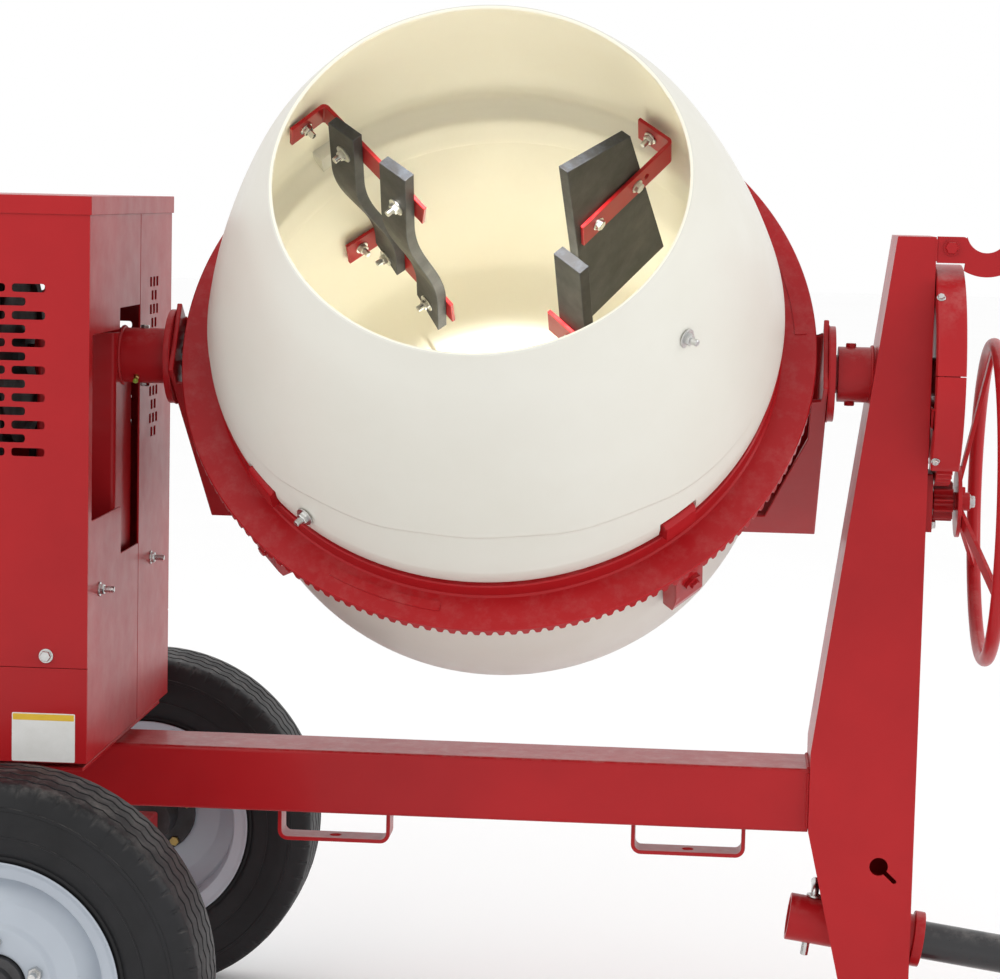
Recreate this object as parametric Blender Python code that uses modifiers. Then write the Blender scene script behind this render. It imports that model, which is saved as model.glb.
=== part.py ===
"""Towable drum concrete mixer: wheeled frame, engine cowl, tilting yoke, toothed drum and tow pole.

Metres, +Z up. The tow pole points along +X and the drum's mouth faces -Y. World origin: on the
ground, under the middle of the whole machine. The root empty stands under the drum's centre.
"""

from math import acos, atan2, cos, degrees, hypot, pi, radians, sin, tau

import bmesh
import bpy
from mathutils import Matrix, Vector

# ------------------------------------------------------------------ driving dimensions
GAP = 0.0003                  # play between pieces that touch
DRUM_X = -0.0983              # where the drum's centre stands along the machine
TILT_Z = 1.178                # height of the tilt axis
MOUTH_UP = radians(34.88)     # the drum axis above the horizon at rest

BEAM_BOTTOM, BEAM_TOP = 0.4572, 0.5588
BEAM_WIDTH = 0.127
BEAM_REAR, BEAM_FRONT = -1.20, 0.5077
STEEL = 0.006                 # wall of the folded and welded steel parts
SHEET = 0.003                 # wall of the cowl panels

COLUMN_HALF = 0.08
COLUMN_FACE = 0.673
FOOT_TOP = 0.010

WHEEL_X = -0.661
WHEEL_Y = 0.536
TYRE_RADIUS = 0.305
RIM_SEAT = 0.1668
SPINDLE_RADIUS = 0.016

COWL_REAR, COWL_FRONT = -1.230, -0.590
COWL_HALF = 0.310
COWL_BOTTOM, COWL_SEAM, COWL_TOP = 0.575, 0.721, 1.431
COWL_SPLIT = 0.056
LOUVRE_PITCH = 0.0205
LOUVRE_ROWS = 13
LOUVRE_COLUMNS = 4
LOUVRE_SIZE = (0.051, 0.0125)
LOUVRE_TOP = 1.293

RING_RADIUS = 0.4976
RING_TEETH, DRIVE_TEETH = 170, 17
RING_FACE, RING_ROOT, RING_TIP = 0.0608, 0.0540, 0.0430
RING_RIM_TOP = 0.0908
RING_BORE = 0.4255
RING_STEP = 0.441             # where the flange meets the raised rim
DRIVE_FACE = (0.4705, 0.4965)
DRUM_GROOVE = 0.4165
DRUM_WALL = 0.008
DRUM_SIDES = 32
LUG_ANGLES = [radians(a) for a in (-48.5, 41.5, 131.5, 221.5)]
LUG_HALF = 0.0275

YOKE_X = 0.516
YOKE_HALF = 0.0625
YOKE_DEPTH = 0.420
YOKE_WEB = 0.008

SHAFT_RADIUS = 0.030
DRIVE_SHAFT_RADIUS = 0.014
HUB_DISC = 0.075

GEAR_MODULE = 0.005
TILT_TEETH, PINION_TEETH = 67, 11
TILT_PITCH = TILT_TEETH * GEAR_MODULE / 2
PINION_PITCH = PINION_TEETH * GEAR_MODULE / 2
HANDWHEEL_Z = TILT_Z - TILT_PITCH - PINION_PITCH
HANDWHEEL_RADIUS = 0.2465
HANDWHEEL_RIM = 0.0115
HANDWHEEL_X = 0.775
WHEEL_SHAFT_RADIUS = 0.0145
GUARD_RADIUS = 0.176
GUARD_JOINT = 0.012           # height of the guard's joint above the tilt axis
GUARD_BACK, GUARD_FRONT = 0.6745, 0.7185

POLE_POINT = (0.600, 0.290)   # a point on the pole's line, as X and Z
POLE_DROP = radians(8.0)
POLE_RADIUS = 0.030
SOCKET_RADIUS = 0.0375
PIN_RADIUS = 0.0063
PIN_X = -0.082
# an opening in the column's back wall, which leans over the pin, so that the pin can be pulled out
PIN_DOOR, PIN_DOOR_AT = (0.070, 0.078, 0.190), (0.525, 0.022, 0.425)

PULLEY_X = -0.778
PULLEY_RADIUS, SMALL_PULLEY_RADIUS = 0.150, 0.045
PULLEY_GROOVE = 0.008
ENGINE_Z = 0.800

# each bracket: angle, sideways shift, height and inner end of its arm, and how far the arm dips inwards
BRACKET_WIDTH, BRACKET_STEEL, BRACKET_FOOT = 0.050, 0.006, 0.065
BRACKETS = [
    ("paddle_bracket_1", 136.0, 0.0, 0.298, 0.150, 11.3),
    ("paddle_bracket_2", 131.0, -0.0468, -0.148, 0.207, 0.0),
    ("paddle_bracket_3", 51.5, 0.0, 0.140, 0.200, 0.0),
    ("paddle_bracket_4", -44.0, 0.0, 0.290, 0.135, 0.0),
]
# a board bends over between two flat lengths, above BEND_TOP and below BEND_LOW, each given as angle,
# sideways shift, radius at height 0 and slope; its corners are reach across the board and height,
# in the order top outer, top inner, bottom inner, bottom outer
PADDLE_THICKNESS, PADDLE_GAP = 0.018, 0.0004
BEND_TOP, BEND_LOW = 0.205, -0.115
UPPER, LOWER = PADDLE_GAP, -0.0468 + PADDLE_GAP
PADDLES = [
    ("paddle_1", (136.0, UPPER, 0.3472, -0.0971), (131.0, LOWER, 0.3526, -0.0974),
     [(0.030, 0.325), (-0.030, 0.338), (-0.030, -0.170), (0.030, -0.135)]),
    ("paddle_2", (136.0, UPPER, 0.2300, -0.1054), (131.0, LOWER, 0.2349, -0.1058),
     [(0.030, 0.343), (-0.030, 0.357), (-0.030, -0.205), (0.030, -0.160)]),
    ("paddle_3", (51.5, PADDLE_GAP, 0.290, 0.0), (51.5, PADDLE_GAP, 0.290, 0.0),
     [(0.032, 0.272), (-0.112, 0.332), (-0.085, -0.120), (0.110, -0.120)]),
    ("paddle_4", (-44.0, PADDLE_GAP, 0.183, 0.0), (-44.0, PADDLE_GAP, 0.183, 0.0),
     [(0.022, 0.486), (-0.033, 0.478), (-0.025, 0.110), (0.032, 0.110)]),
]

# ------------------------------------------------------------------ finishes: colour, roughness, metallic
RED = ((0.45, 0.016, 0.020, 1), 0.32, 0.0)
CREAM = ((0.78, 0.74, 0.62, 1), 0.45, 0.0)
BLACK_PAINT = ((0.012, 0.012, 0.014, 1), 0.35, 0.0)
BOARD = ((0.030, 0.031, 0.036, 1), 0.65, 0.0)
RUBBER = ((0.018, 0.018, 0.019, 1), 0.80, 0.0)
SILVER = ((0.62, 0.64, 0.67, 1), 0.40, 0.3)
ZINC = ((0.60, 0.60, 0.58, 1), 0.30, 1.0)
CAST = ((0.10, 0.10, 0.105, 1), 0.60, 0.6)
ENGINE = ((0.045, 0.045, 0.050, 1), 0.50, 0.2)

FACING = {
    "X": (pi / 2, 0, pi / 2),   # local x, y, z run along Y, Z, X
    "Y": (pi / 2, 0, 0),        # local x, y, z run along X, Z, -Y
    "Z": (0, 0, 0),
}


# ------------------------------------------------------------------ scene and objects
def clear_scene():
    for obj in list(bpy.data.objects):
        bpy.data.objects.remove(obj, do_unlink=True)


def new_collection(name):
    collection = bpy.data.collections.new(name)
    bpy.context.scene.collection.children.link(collection)
    return collection


def axis_empty(name, location, rotation=(0, 0, 0), parent=None):
    """An empty on a joint's axis, which carries the pieces that turn there."""
    empty = bpy.data.objects.new(name, None)
    empty.empty_display_size = 0.1
    empty.location = location
    empty.rotation_euler = rotation
    empty.parent = parent
    MIXER.objects.link(empty)
    return empty


def finish_material(name, finish):
    colour, roughness, metallic = finish
    material = bpy.data.materials.new(name + "_finish")
    material.use_nodes = True
    shader = material.node_tree.nodes["Principled BSDF"]
    shader.inputs["Base Color"].default_value = colour
    shader.inputs["Roughness"].default_value = roughness
    shader.inputs["Metallic"].default_value = metallic
    material.diffuse_color = colour
    return material


def add(name, mesh, finish, parent, at=(0, 0, 0), turn=(0, 0, 0)):
    """A named piece of the mixer."""
    mesh.name = name
    mesh.materials.clear()
    mesh.materials.append(finish_material(name, finish))
    mesh.shade_smooth()
    mesh.set_sharp_from_angle(angle=radians(35))
    obj = bpy.data.objects.new(name, mesh)
    obj.location = at
    obj.rotation_euler = turn
    obj.parent = parent
    MIXER.objects.link(obj)
    return obj


def tool(mesh, parent, at=(0, 0, 0), turn=(0, 0, 0)):
    """A shape that only cuts or joins another."""
    obj = bpy.data.objects.new("tool", mesh)
    obj.location = at
    obj.rotation_euler = turn
    obj.parent = parent
    obj.hide_render = True
    obj.display_type = "WIRE"
    CUTTERS.objects.link(obj)
    return obj


def boolean(obj, operation, others):
    for other in others:
        modifier = obj.modifiers.new(operation.lower(), "BOOLEAN")
        modifier.operation = operation
        modifier.object = other
    return obj


def cut(obj, *others):
    return boolean(obj, "DIFFERENCE", others)


def fuse(obj, *others):
    return boolean(obj, "UNION", others)


def bevel(obj, width, segments=1, angle=40):
    modifier = obj.modifiers.new("bevel", "BEVEL")
    modifier.width = width
    modifier.segments = segments
    modifier.limit_method = "ANGLE"
    modifier.angle_limit = radians(angle)
    return obj


def screw(obj, steps):
    modifier = obj.modifiers.new("screw", "SCREW")
    modifier.steps = modifier.render_steps = steps
    modifier.use_merge_vertices = True
    modifier.merge_threshold = 0.00005
    return obj


def solidify(obj, thickness, offset=-1.0):
    modifier = obj.modifiers.new("solidify", "SOLIDIFY")
    modifier.thickness = thickness
    modifier.offset = offset
    modifier.use_even_offset = True
    return obj


# ------------------------------------------------------------------ meshes
def from_bmesh(bm, name="shape"):
    mesh = bpy.data.meshes.new(name)
    bm.to_mesh(mesh)
    bm.free()
    return mesh


def block(length, depth, height):
    bm = bmesh.new()
    bmesh.ops.create_cube(bm, size=1.0)
    bmesh.ops.scale(bm, vec=(length, depth, height), verts=bm.verts)
    return from_bmesh(bm)


def rod(radius, length, sides=20):
    bm = bmesh.new()
    bmesh.ops.create_cone(
        bm, cap_ends=True, segments=sides, radius1=radius, radius2=radius, depth=length,
    )
    return from_bmesh(bm)


def ball(radius):
    bm = bmesh.new()
    bmesh.ops.create_uvsphere(bm, u_segments=12, v_segments=8, radius=radius)
    return from_bmesh(bm)


def curve_mesh(curve):
    """The mesh of a curve, with its caps welded on."""
    obj = bpy.data.objects.new("curve", curve)
    MIXER.objects.link(obj)
    graph = bpy.context.evaluated_depsgraph_get()
    mesh = bpy.data.meshes.new_from_object(obj.evaluated_get(graph))
    bpy.data.objects.remove(obj, do_unlink=True)
    bpy.data.curves.remove(curve)
    bm = bmesh.new()
    bm.from_mesh(mesh)
    bmesh.ops.remove_doubles(bm, verts=bm.verts, dist=0.00001)
    bmesh.ops.recalc_face_normals(bm, faces=bm.faces)
    bm.to_mesh(mesh)
    bm.free()
    return mesh


def plate(thickness, rim, *holes):
    """A flat outline, with holes, centred on the local XY plane."""
    curve = bpy.data.curves.new("outline", "CURVE")
    curve.dimensions = "2D"
    curve.fill_mode = "BOTH"
    curve.extrude = thickness / 2
    for loop in (rim, *holes):
        spline = curve.splines.new("POLY")
        spline.points.add(len(loop) - 1)
        for point, (x, y) in zip(spline.points, loop):
            point.co = (x, y, 0, 1)
        spline.use_cyclic_u = True
    return curve_mesh(curve)


def bent_rod(points, radius):
    """A round bar along a line of points."""
    curve = bpy.data.curves.new("bar", "CURVE")
    curve.dimensions = "3D"
    curve.bevel_depth = radius
    curve.bevel_resolution = 2
    curve.use_fill_caps = True
    spline = curve.splines.new("POLY")
    spline.points.add(len(points) - 1)
    for point, where in zip(spline.points, points):
        point.co = (*where, 1)
    return curve_mesh(curve)


def profile(points, closed):
    """The edge loop that a screw turns about local Z, given as radius and height."""
    bm = bmesh.new()
    verts = [bm.verts.new((radius, 0, height)) for radius, height in points]
    for first, second in zip(verts, verts[1:] + (verts[:1] if closed else [])):
        bm.edges.new((first, second))
    return from_bmesh(bm)


def turned(name, points, finish, parent, steps=32, closed=True, at=(0, 0, 0), turn=(0, 0, 0)):
    return screw(add(name, profile(points, closed), finish, parent, at, turn), steps)


# ------------------------------------------------------------------ outlines
def circle(radius, sides=20, x=0.0, y=0.0):
    return [(x + radius * cos(tau * i / sides), y + radius * sin(tau * i / sides))
            for i in range(sides)]


def clear_of(radius, sides=20):
    """The corner radius of a bore whose flats stay clear of a shaft."""
    return (radius + GAP) / cos(pi / sides)


def arc(x, y, radius, start, end, steps):
    """Points on an arc, from start to end in degrees."""
    angles = [radians(start + (end - start) * i / steps) for i in range(steps + 1)]
    return [(x + radius * cos(a), y + radius * sin(a)) for a in angles]


def rectangle(left, bottom, right, top):
    return [(left, bottom), (right, bottom), (right, top), (left, top)]


def gear_outline(teeth, pitch, addendum, dedendum, width, phase):
    """A spur gear: straight-sided teeth, narrower at the tip, one of them centred at phase."""
    points = []
    spots = ((-0.70, -dedendum), (-0.24, addendum), (0.24, addendum), (0.70, -dedendum))
    for tooth in range(teeth):
        middle = phase + tau * tooth / teeth
        for side, height in spots:
            radius = pitch + height
            angle = middle + side * width / radius
            points.append((radius * cos(angle), radius * sin(angle)))
    return points


def belt_loop(big, small, distance, steps=20):
    """The line round two pulleys, the small one below the big one by the given distance."""
    lean = degrees(acos((big - small) / distance))
    return (arc(0, 0, big, lean - 90, 270 - lean, steps)
            + arc(0, -distance, small, 270 - lean, 270 + lean, steps // 2))


# ------------------------------------------------------------------ chassis
def make_chassis(root):
    mid_z = (BEAM_BOTTOM + BEAM_TOP) / 2
    half_y, half_z = BEAM_WIDTH / 2, (BEAM_TOP - BEAM_BOTTOM) / 2
    tube = plate(
        BEAM_FRONT - BEAM_REAR,
        rectangle(-half_y, -half_z, half_y, half_z),
        rectangle(-half_y + STEEL, -half_z + STEEL, half_y - STEEL, half_z - STEEL),
    )
    add("main_beam", tube, RED, root, ((BEAM_FRONT + BEAM_REAR) / 2, 0, mid_z), FACING["X"])
    for name, left in (("fork_pocket_rear", -0.341), ("fork_pocket_front", 0.229)):
        make_fork_pocket(name, root, left)
    make_axle(root)
    deck = block(0.615, 0.58, STEEL)
    add("engine_deck", deck, RED, root, (-0.9075, 0, BEAM_TOP + GAP + STEEL / 2))
    make_rear_post(root)


def make_fork_pocket(name, root, left):
    """A flat bar bent into a U, welded under the beam for a lifting fork."""
    right, bottom, top, bend = left + 0.182, 0.403, BEAM_BOTTOM - GAP, 0.016
    outer = ([(left, top)] + arc(left + bend, bottom + bend, bend, 180, 270, 4)
             + arc(right - bend, bottom + bend, bend, 270, 360, 4) + [(right, top)])
    bend_in = bend - STEEL
    inner = ([(right - STEEL, top)] + arc(right - bend, bottom + bend, bend_in, 0, -90, 4)
             + arc(left + bend, bottom + bend, bend_in, -90, -180, 4) + [(left + STEEL, top)])
    pocket = add(name, plate(0.05, outer + inner), RED, root, (0, 0, 0), FACING["Y"])
    cut(pocket, tool(rod(0.009, 0.03, 12), root, ((left + right) / 2, 0, bottom)))


def make_axle(root):
    """A square axle with a saddle under the beam and a round spindle at each end."""
    axle_z, side = TYRE_RADIUS, 0.0635
    axle = add("axle_beam", block(side, 0.86, side), RED, root, (WHEEL_X, 0, axle_z))
    saddle_top = BEAM_BOTTOM - GAP
    height = saddle_top - axle_z
    saddle = tool(block(0.12, 0.11, height), root, (WHEEL_X, 0, saddle_top - height / 2))
    spindle = tool(rod(SPINDLE_RADIUS, 1.164, 20), root, (WHEEL_X, 0, axle_z), FACING["Y"])
    fuse(axle, saddle, spindle)


def make_rear_post(root):
    """The square post inside the cowl that carries the rear trunnion."""
    half, bottom, top = BEAM_WIDTH / 2, BEAM_TOP + 2 * GAP + STEEL, 1.216
    post_x = -0.604 - half
    tube = plate(top - bottom, rectangle(-half, -half, half, half),
                 rectangle(-half + STEEL, -half + STEEL, half - STEEL, half - STEEL))
    post = add("rear_post", tube, RED, root, (post_x, 0, (top + bottom) / 2))
    cut(post, tool(rod(clear_of(0.044), 0.2), root, (post_x, 0, TILT_Z), FACING["X"]))
    bearing = plate(0.208, circle(0.044), circle(clear_of(0.032)))
    add("rear_bearing_tube", bearing, RED, root, (-0.636, 0, TILT_Z), FACING["X"])


# ------------------------------------------------------------------ column
def make_column(root, pole):
    """The folded steel column: closed box, foot plate, and holes for shafts, socket and keyhole."""
    knee = 0.508
    outline = [(0.613, 0.005), (COLUMN_FACE, 0.005), (COLUMN_FACE, 1.397), (0.614, 1.397),
               (knee, 0.589), (knee, 0.462)]
    mesh = plate(2 * COLUMN_HALF, outline)
    bm = bmesh.new()
    bm.from_mesh(mesh)
    sole = [face for face in bm.faces if face.calc_center_median().y < 0.006]
    bmesh.ops.delete(bm, geom=sole, context="FACES_ONLY")
    bm.to_mesh(mesh)
    bm.free()
    column = solidify(add("front_column", mesh, RED, root, (0, 0, 0), FACING["Y"]), 0.005)
    foot = tool(block(0.15, 0.20, FOOT_TOP), root, (0.640, 0, FOOT_TOP / 2))
    fuse(column, foot)
    cut(column,
        tool(rod(clear_of(0.0435), 0.2), root, (0.63, 0, TILT_Z), FACING["X"]),
        tool(rod(0.0165, 0.06, 16), root, (COLUMN_FACE, 0, HANDWHEEL_Z), FACING["X"]),
        tool(rod(clear_of(SOCKET_RADIUS), 0.4), pole, (0, 0, 0), FACING["X"]),
        tool(block(*PIN_DOOR), root, PIN_DOOR_AT),
        tool(plate(0.03, keyhole(0.620, 0.411)), root, (0, -COLUMN_HALF, 0), FACING["Y"]))
    bearing = plate(0.1413, circle(0.0435), circle(clear_of(SHAFT_RADIUS)))
    add("front_bearing_tube", bearing, RED, root, (0.6027, 0, TILT_Z), FACING["X"])
    make_pole_rest(root)


def keyhole(x, z):
    """A round hole with a narrow slot that runs down to the right."""
    slot, reach, lean = 0.0035, 0.034, -43
    side = degrees(atan2(slot, 0.014))
    tip = [(x + reach * cos(radians(lean)) + slot * cos(radians(lean + turn)),
            z + reach * sin(radians(lean)) + slot * sin(radians(lean + turn))) for turn in (-90, 90)]
    return arc(x, z, 0.0145, lean + side, lean + 360 - side, 16) + tip


def make_pole_rest(root):
    """The notched hook plate that the tow pole rests in, with its bolt."""
    x, z, notch, outer = 0.750, 1.405, 0.031, 0.068
    top = 1.398
    dip = degrees(atan2(z - top, notch))
    outline = ([(COLUMN_FACE + 0.0015, 1.3575), (0.7175, 1.3575)]
               + arc(x, z, outer, 240, 354, 8)
               + arc(x, z, notch, -dip, -180 + dip, 10)
               + [(COLUMN_FACE + 0.0015, top)])
    hook = add("pole_rest_hook", plate(0.008, outline), RED, root, (0, -0.074, 0), FACING["Y"])
    bolt = tool(rod(0.0085, 0.016, 6), root, (0.696, -0.081, 1.381), FACING["Y"])
    washer = tool(rod(0.0125, 0.012, 16), root, (0.696, -0.076, 1.381), FACING["Y"])
    fuse(hook, washer, bolt)


# ------------------------------------------------------------------ pole and hitch
def make_pole(pole):
    """Socket, pole, pin and coupler, in the sloping frame of the pole: local X runs forwards."""
    rear, front, bore, collar = -0.118, 0.0975, clear_of(POLE_RADIUS), 0.044
    line = [(collar, front), (collar, front - 0.016), (SOCKET_RADIUS, front - 0.016),
            (SOCKET_RADIUS, rear), (bore, rear), (bore, front)]
    socket = turned("pole_socket", line, RED, pole, 20, turn=FACING["X"])
    cut(socket, tool(rod(0.0069, 0.12, 12), pole, (PIN_X, 0, 0)))
    tube = add("tow_pole", plate(0.825, circle(POLE_RADIUS), circle(POLE_RADIUS - 0.004)),
               BLACK_PAINT, pole, (0.3075, 0, 0), FACING["X"])
    cut(tube, tool(rod(0.0069, 0.12, 12), pole, (PIN_X, 0, 0)))
    head = 0.0415
    bend = 0.012
    bar = [(PIN_X, 0, -0.058)] + [(PIN_X, y, z) for y, z in arc(bend, head, bend, 180, 90, 4)]
    add("pole_pin", bent_rod(bar + [(PIN_X, 0.045, head + bend)], PIN_RADIUS), ZINC, pole)
    make_coupler(pole)


def make_coupler(pole):
    """Ball coupler with a hinged latch lever on top."""
    half = 0.033
    body = [(0.735, -0.036), (0.838, -0.036), (0.838, 0.004), (0.818, 0.027), (0.792, 0.036),
            (0.735, 0.036)]
    coupler = add("ball_coupler", plate(2 * half, body), CAST, pole, (0, 0, 0), FACING["Y"])
    bevel(coupler, 0.005)
    sleeve = tool(plate(0.085, circle(0.0365), circle(clear_of(POLE_RADIUS))), pole,
                  (0.7025, 0, 0), FACING["X"])
    ear = [(0.766, 0.030), (0.792, 0.030), (0.792, 0.049), (0.786, 0.055), (0.772, 0.055),
           (0.766, 0.049)]
    hole = circle(0.0046, 12, 0.779, 0.0445)
    ears = [tool(plate(0.006, ear, hole), pole, (0, side * 0.0195, 0), FACING["Y"])
            for side in (-1, 1)]
    fuse(coupler, sleeve, *ears)
    cut(coupler, tool(ball(0.0258), pole, (0.800, 0, -0.031)))
    latch = axis_empty("latch_axis", (0.779, 0, 0.0445), parent=pole)
    lever_line = [(0.006, -0.004), (0.006, 0.004), (-0.080, 0.004), (-0.115, 0.014),
                  (-0.119, 0.009), (-0.083, -0.002), (-0.06, -0.004)]
    lever = add("coupler_latch", plate(0.032, lever_line), ZINC, latch, (0, 0, 0), FACING["Y"])
    fuse(lever, tool(rod(0.0042, 0.048, 12), latch, (0, 0, 0), FACING["Y"]))


# ------------------------------------------------------------------ cowl
def louvre_slots(right_edge):
    """Staggered rows of slots, given by the right end of the first row."""
    length, height = LOUVRE_SIZE
    slots = []
    for row in range(LOUVRE_ROWS):
        z = LOUVRE_TOP - row * LOUVRE_PITCH
        right = right_edge - (row % 2) * 0.030
        for column in range(LOUVRE_COLUMNS):
            end = right - column * (length + 0.010)
            slots.append(rectangle(end - length, z - height / 2, end, z + height / 2))
    return slots


def vent_holes(middle, top):
    """Rows of three and two square vents."""
    size, pitch, rows = 0.016, 0.0255, 12
    holes = []
    for row in range(rows):
        count = 3 - row % 2
        z = top - row * 0.0226
        for index in range(count):
            y = middle + (index - (count - 1) / 2) * pitch
            holes.append(rectangle(y - size / 2, z - size / 2, y + size / 2, z + size / 2))
    return holes


def make_cowl(root):
    """Sheet-steel engine cowl: skirt, two louvred sides, two front halves, rear and lid."""
    side_top = COWL_TOP - SHEET - 2 * GAP
    side = rectangle(COWL_REAR, COWL_SEAM, COWL_FRONT, side_top)
    for name, y in (("cowl_near_side", -COWL_HALF + SHEET / 2), ("cowl_far_side", COWL_HALF - SHEET / 2)):
        add(name, plate(SHEET, side, *louvre_slots(-0.657)), RED, root, (0, y, 0), FACING["Y"])
    wall = COWL_HALF - SHEET - GAP
    front_x = COWL_FRONT - SHEET / 2
    near = [(-wall, COWL_BOTTOM), (COWL_SPLIT - 0.0015, COWL_BOTTOM), (COWL_SPLIT - 0.0015, 0.868),
            (-0.078, 0.868), (-0.078, 0.943), (-wall + 0.020, 0.943), (-wall + 0.020, 1.224),
            (-0.096, 1.224), (-0.096, 1.257), (COWL_SPLIT - 0.0015, 1.257),
            (COWL_SPLIT - 0.0015, side_top), (-wall, side_top)]
    add("cowl_end_near", plate(SHEET, near), RED, root, (front_x, 0, 0), FACING["X"])
    far = rectangle(COWL_SPLIT + 0.0015, COWL_BOTTOM, wall, side_top)
    add("cowl_end_far", plate(SHEET, far, *vent_holes(0.165, 1.291)), RED, root,
        (front_x, 0, 0), FACING["X"])
    rear = rectangle(-wall, COWL_SEAM, wall, side_top)
    slots = [rectangle(-0.12, z - 0.008, 0.12, z + 0.008) for z in (1.30, 1.26, 1.22, 1.18, 1.14)]
    add("cowl_rear", plate(SHEET, rear, *slots), RED, root, (COWL_REAR + SHEET / 2, 0, 0), FACING["X"])
    make_cowl_skirt(root)
    make_cowl_lid(root)


def make_cowl_skirt(root):
    """The three lower walls under the louvred panels."""
    half, front = COWL_HALF, COWL_FRONT
    outline = [(front, -half), (front, -half + SHEET), (COWL_REAR + SHEET, -half + SHEET),
               (COWL_REAR + SHEET, half - SHEET), (front, half - SHEET), (front, half),
               (COWL_REAR, half), (COWL_REAR, -half)]
    height = COWL_SEAM - 0.001 - COWL_BOTTOM
    add("cowl_skirt", plate(height, outline), RED, root, (0, 0, COWL_BOTTOM + height / 2))


def make_cowl_lid(root):
    """A tray turned upside down over the top of the walls."""
    margin, depth, wall = 0.003, 0.028, 0.0025
    length = COWL_FRONT - COWL_REAR + 2 * margin
    width = 2 * (COWL_HALF + margin)
    mesh = block(length, width, depth)
    bm = bmesh.new()
    bm.from_mesh(mesh)
    below = [face for face in bm.faces if face.normal.z < -0.5]
    bmesh.ops.delete(bm, geom=below, context="FACES_ONLY")
    bm.to_mesh(mesh)
    bm.free()
    middle = ((COWL_FRONT + COWL_REAR) / 2, 0, COWL_TOP - depth / 2)
    solidify(add("cowl_top", mesh, RED, root, middle), wall)


# ------------------------------------------------------------------ engine and belt
def make_engine(root):
    """A small single-cylinder engine on the deck: crankcase, cylinder, starter cover and tank."""
    floor, height = BEAM_TOP + STEEL + 2 * GAP, 0.336
    engine = add("engine_block", block(0.23, 0.24, height), ENGINE, root,
                 (-0.985, 0, floor + height / 2))
    bevel(engine, 0.012, 1)
    cylinder = tool(block(0.15, 0.14, 0.20), root, (-0.985, 0.16, floor + 0.20))
    starter = tool(rod(0.10, 0.05, 24), root, (-1.115, 0, ENGINE_Z), FACING["X"])
    fuse(engine, cylinder, starter)
    cut(engine, tool(rod(0.0135, 0.08, 16), root, (-0.87, 0, ENGINE_Z), FACING["X"]))
    tank = add("fuel_tank", block(0.25, 0.22, 0.10), BLACK_PAINT, root,
               (-0.985, 0, floor + height + GAP + 0.05))
    bevel(tank, 0.018, 2)
    fuse(tank, tool(rod(0.028, 0.04, 16), root, (-1.03, 0, floor + height + 0.11)))


def pulley_profile(radius, bore, hub):
    """A grooved pulley on a hub, turned about its axis."""
    groove = radius - PULLEY_GROOVE
    return [(radius, 0.011), (radius, 0.0085), (groove, 0.0070), (groove, -0.0070),
            (radius, -0.0085), (radius, -0.011), (hub, -0.011), (bore, -0.011),
            (bore, 0.020), (hub, 0.020), (hub, 0.011)]


def make_belt(root):
    drop = TILT_Z - ENGINE_Z
    clear = GAP - PULLEY_GROOVE
    inner = belt_loop(PULLEY_RADIUS + clear + 0.0015, SMALL_PULLEY_RADIUS + clear + 0.0015, drop)
    outer = belt_loop(PULLEY_RADIUS - 0.0005, SMALL_PULLEY_RADIUS - 0.0005, drop)
    add("drive_belt", plate(0.011, outer, inner), RUBBER, root, (PULLEY_X, 0, TILT_Z), FACING["X"])
    axis = axis_empty("engine_axis", (PULLEY_X, 0, ENGINE_Z), FACING["X"], root)
    groove, shaft, inner_end = SMALL_PULLEY_RADIUS - PULLEY_GROOVE, 0.0125, -0.094
    line = [(0, 0.020), (0.022, 0.020), (0.022, 0.011), (SMALL_PULLEY_RADIUS, 0.011),
            (SMALL_PULLEY_RADIUS, 0.0085), (groove, 0.0070), (groove, -0.0070),
            (SMALL_PULLEY_RADIUS, -0.0085), (SMALL_PULLEY_RADIUS, -0.011), (shaft, -0.011),
            (shaft, inner_end), (0, inner_end)]
    turned("engine_pulley", line, CAST, axis, 16, closed=False)


# ------------------------------------------------------------------ tilting cradle
def make_yoke(cradle):
    """U-shaped yoke of folded channel: a web strip and two flange plates with corner gussets."""
    inner = YOKE_X - YOKE_WEB
    floor = -YOKE_DEPTH
    web = [(-YOKE_X, 0.060), (-YOKE_X, floor), (YOKE_X, floor), (YOKE_X, 0.060), (inner, 0.060),
           (inner, floor + YOKE_WEB), (-inner, floor + YOKE_WEB), (-inner, 0.060)]
    yoke = add("yoke", plate(2 * YOKE_HALF, web), RED, cradle, (0, 0, 0), FACING["Y"])
    half = [(0.300, -0.394), (0.360, -0.362), (0.430, -0.362), (0.491, -0.100), (0.491, 0.015)]
    flange = ([(-YOKE_X, 0.020), (-YOKE_X, floor), (YOKE_X, floor), (YOKE_X, 0.020)]
              + half[::-1] + [(-x, z) for x, z in half])
    flange_y = YOKE_HALF - STEEL / 2
    fuse(yoke, *[tool(plate(STEEL, flange), cradle, (0, side * flange_y, 0), FACING["Y"])
                 for side in (-1, 1)])
    cut(yoke, tool(rod(0.018, 0.03, 20), cradle, (-YOKE_X + YOKE_WEB / 2, 0, 0), FACING["X"]))


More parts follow.
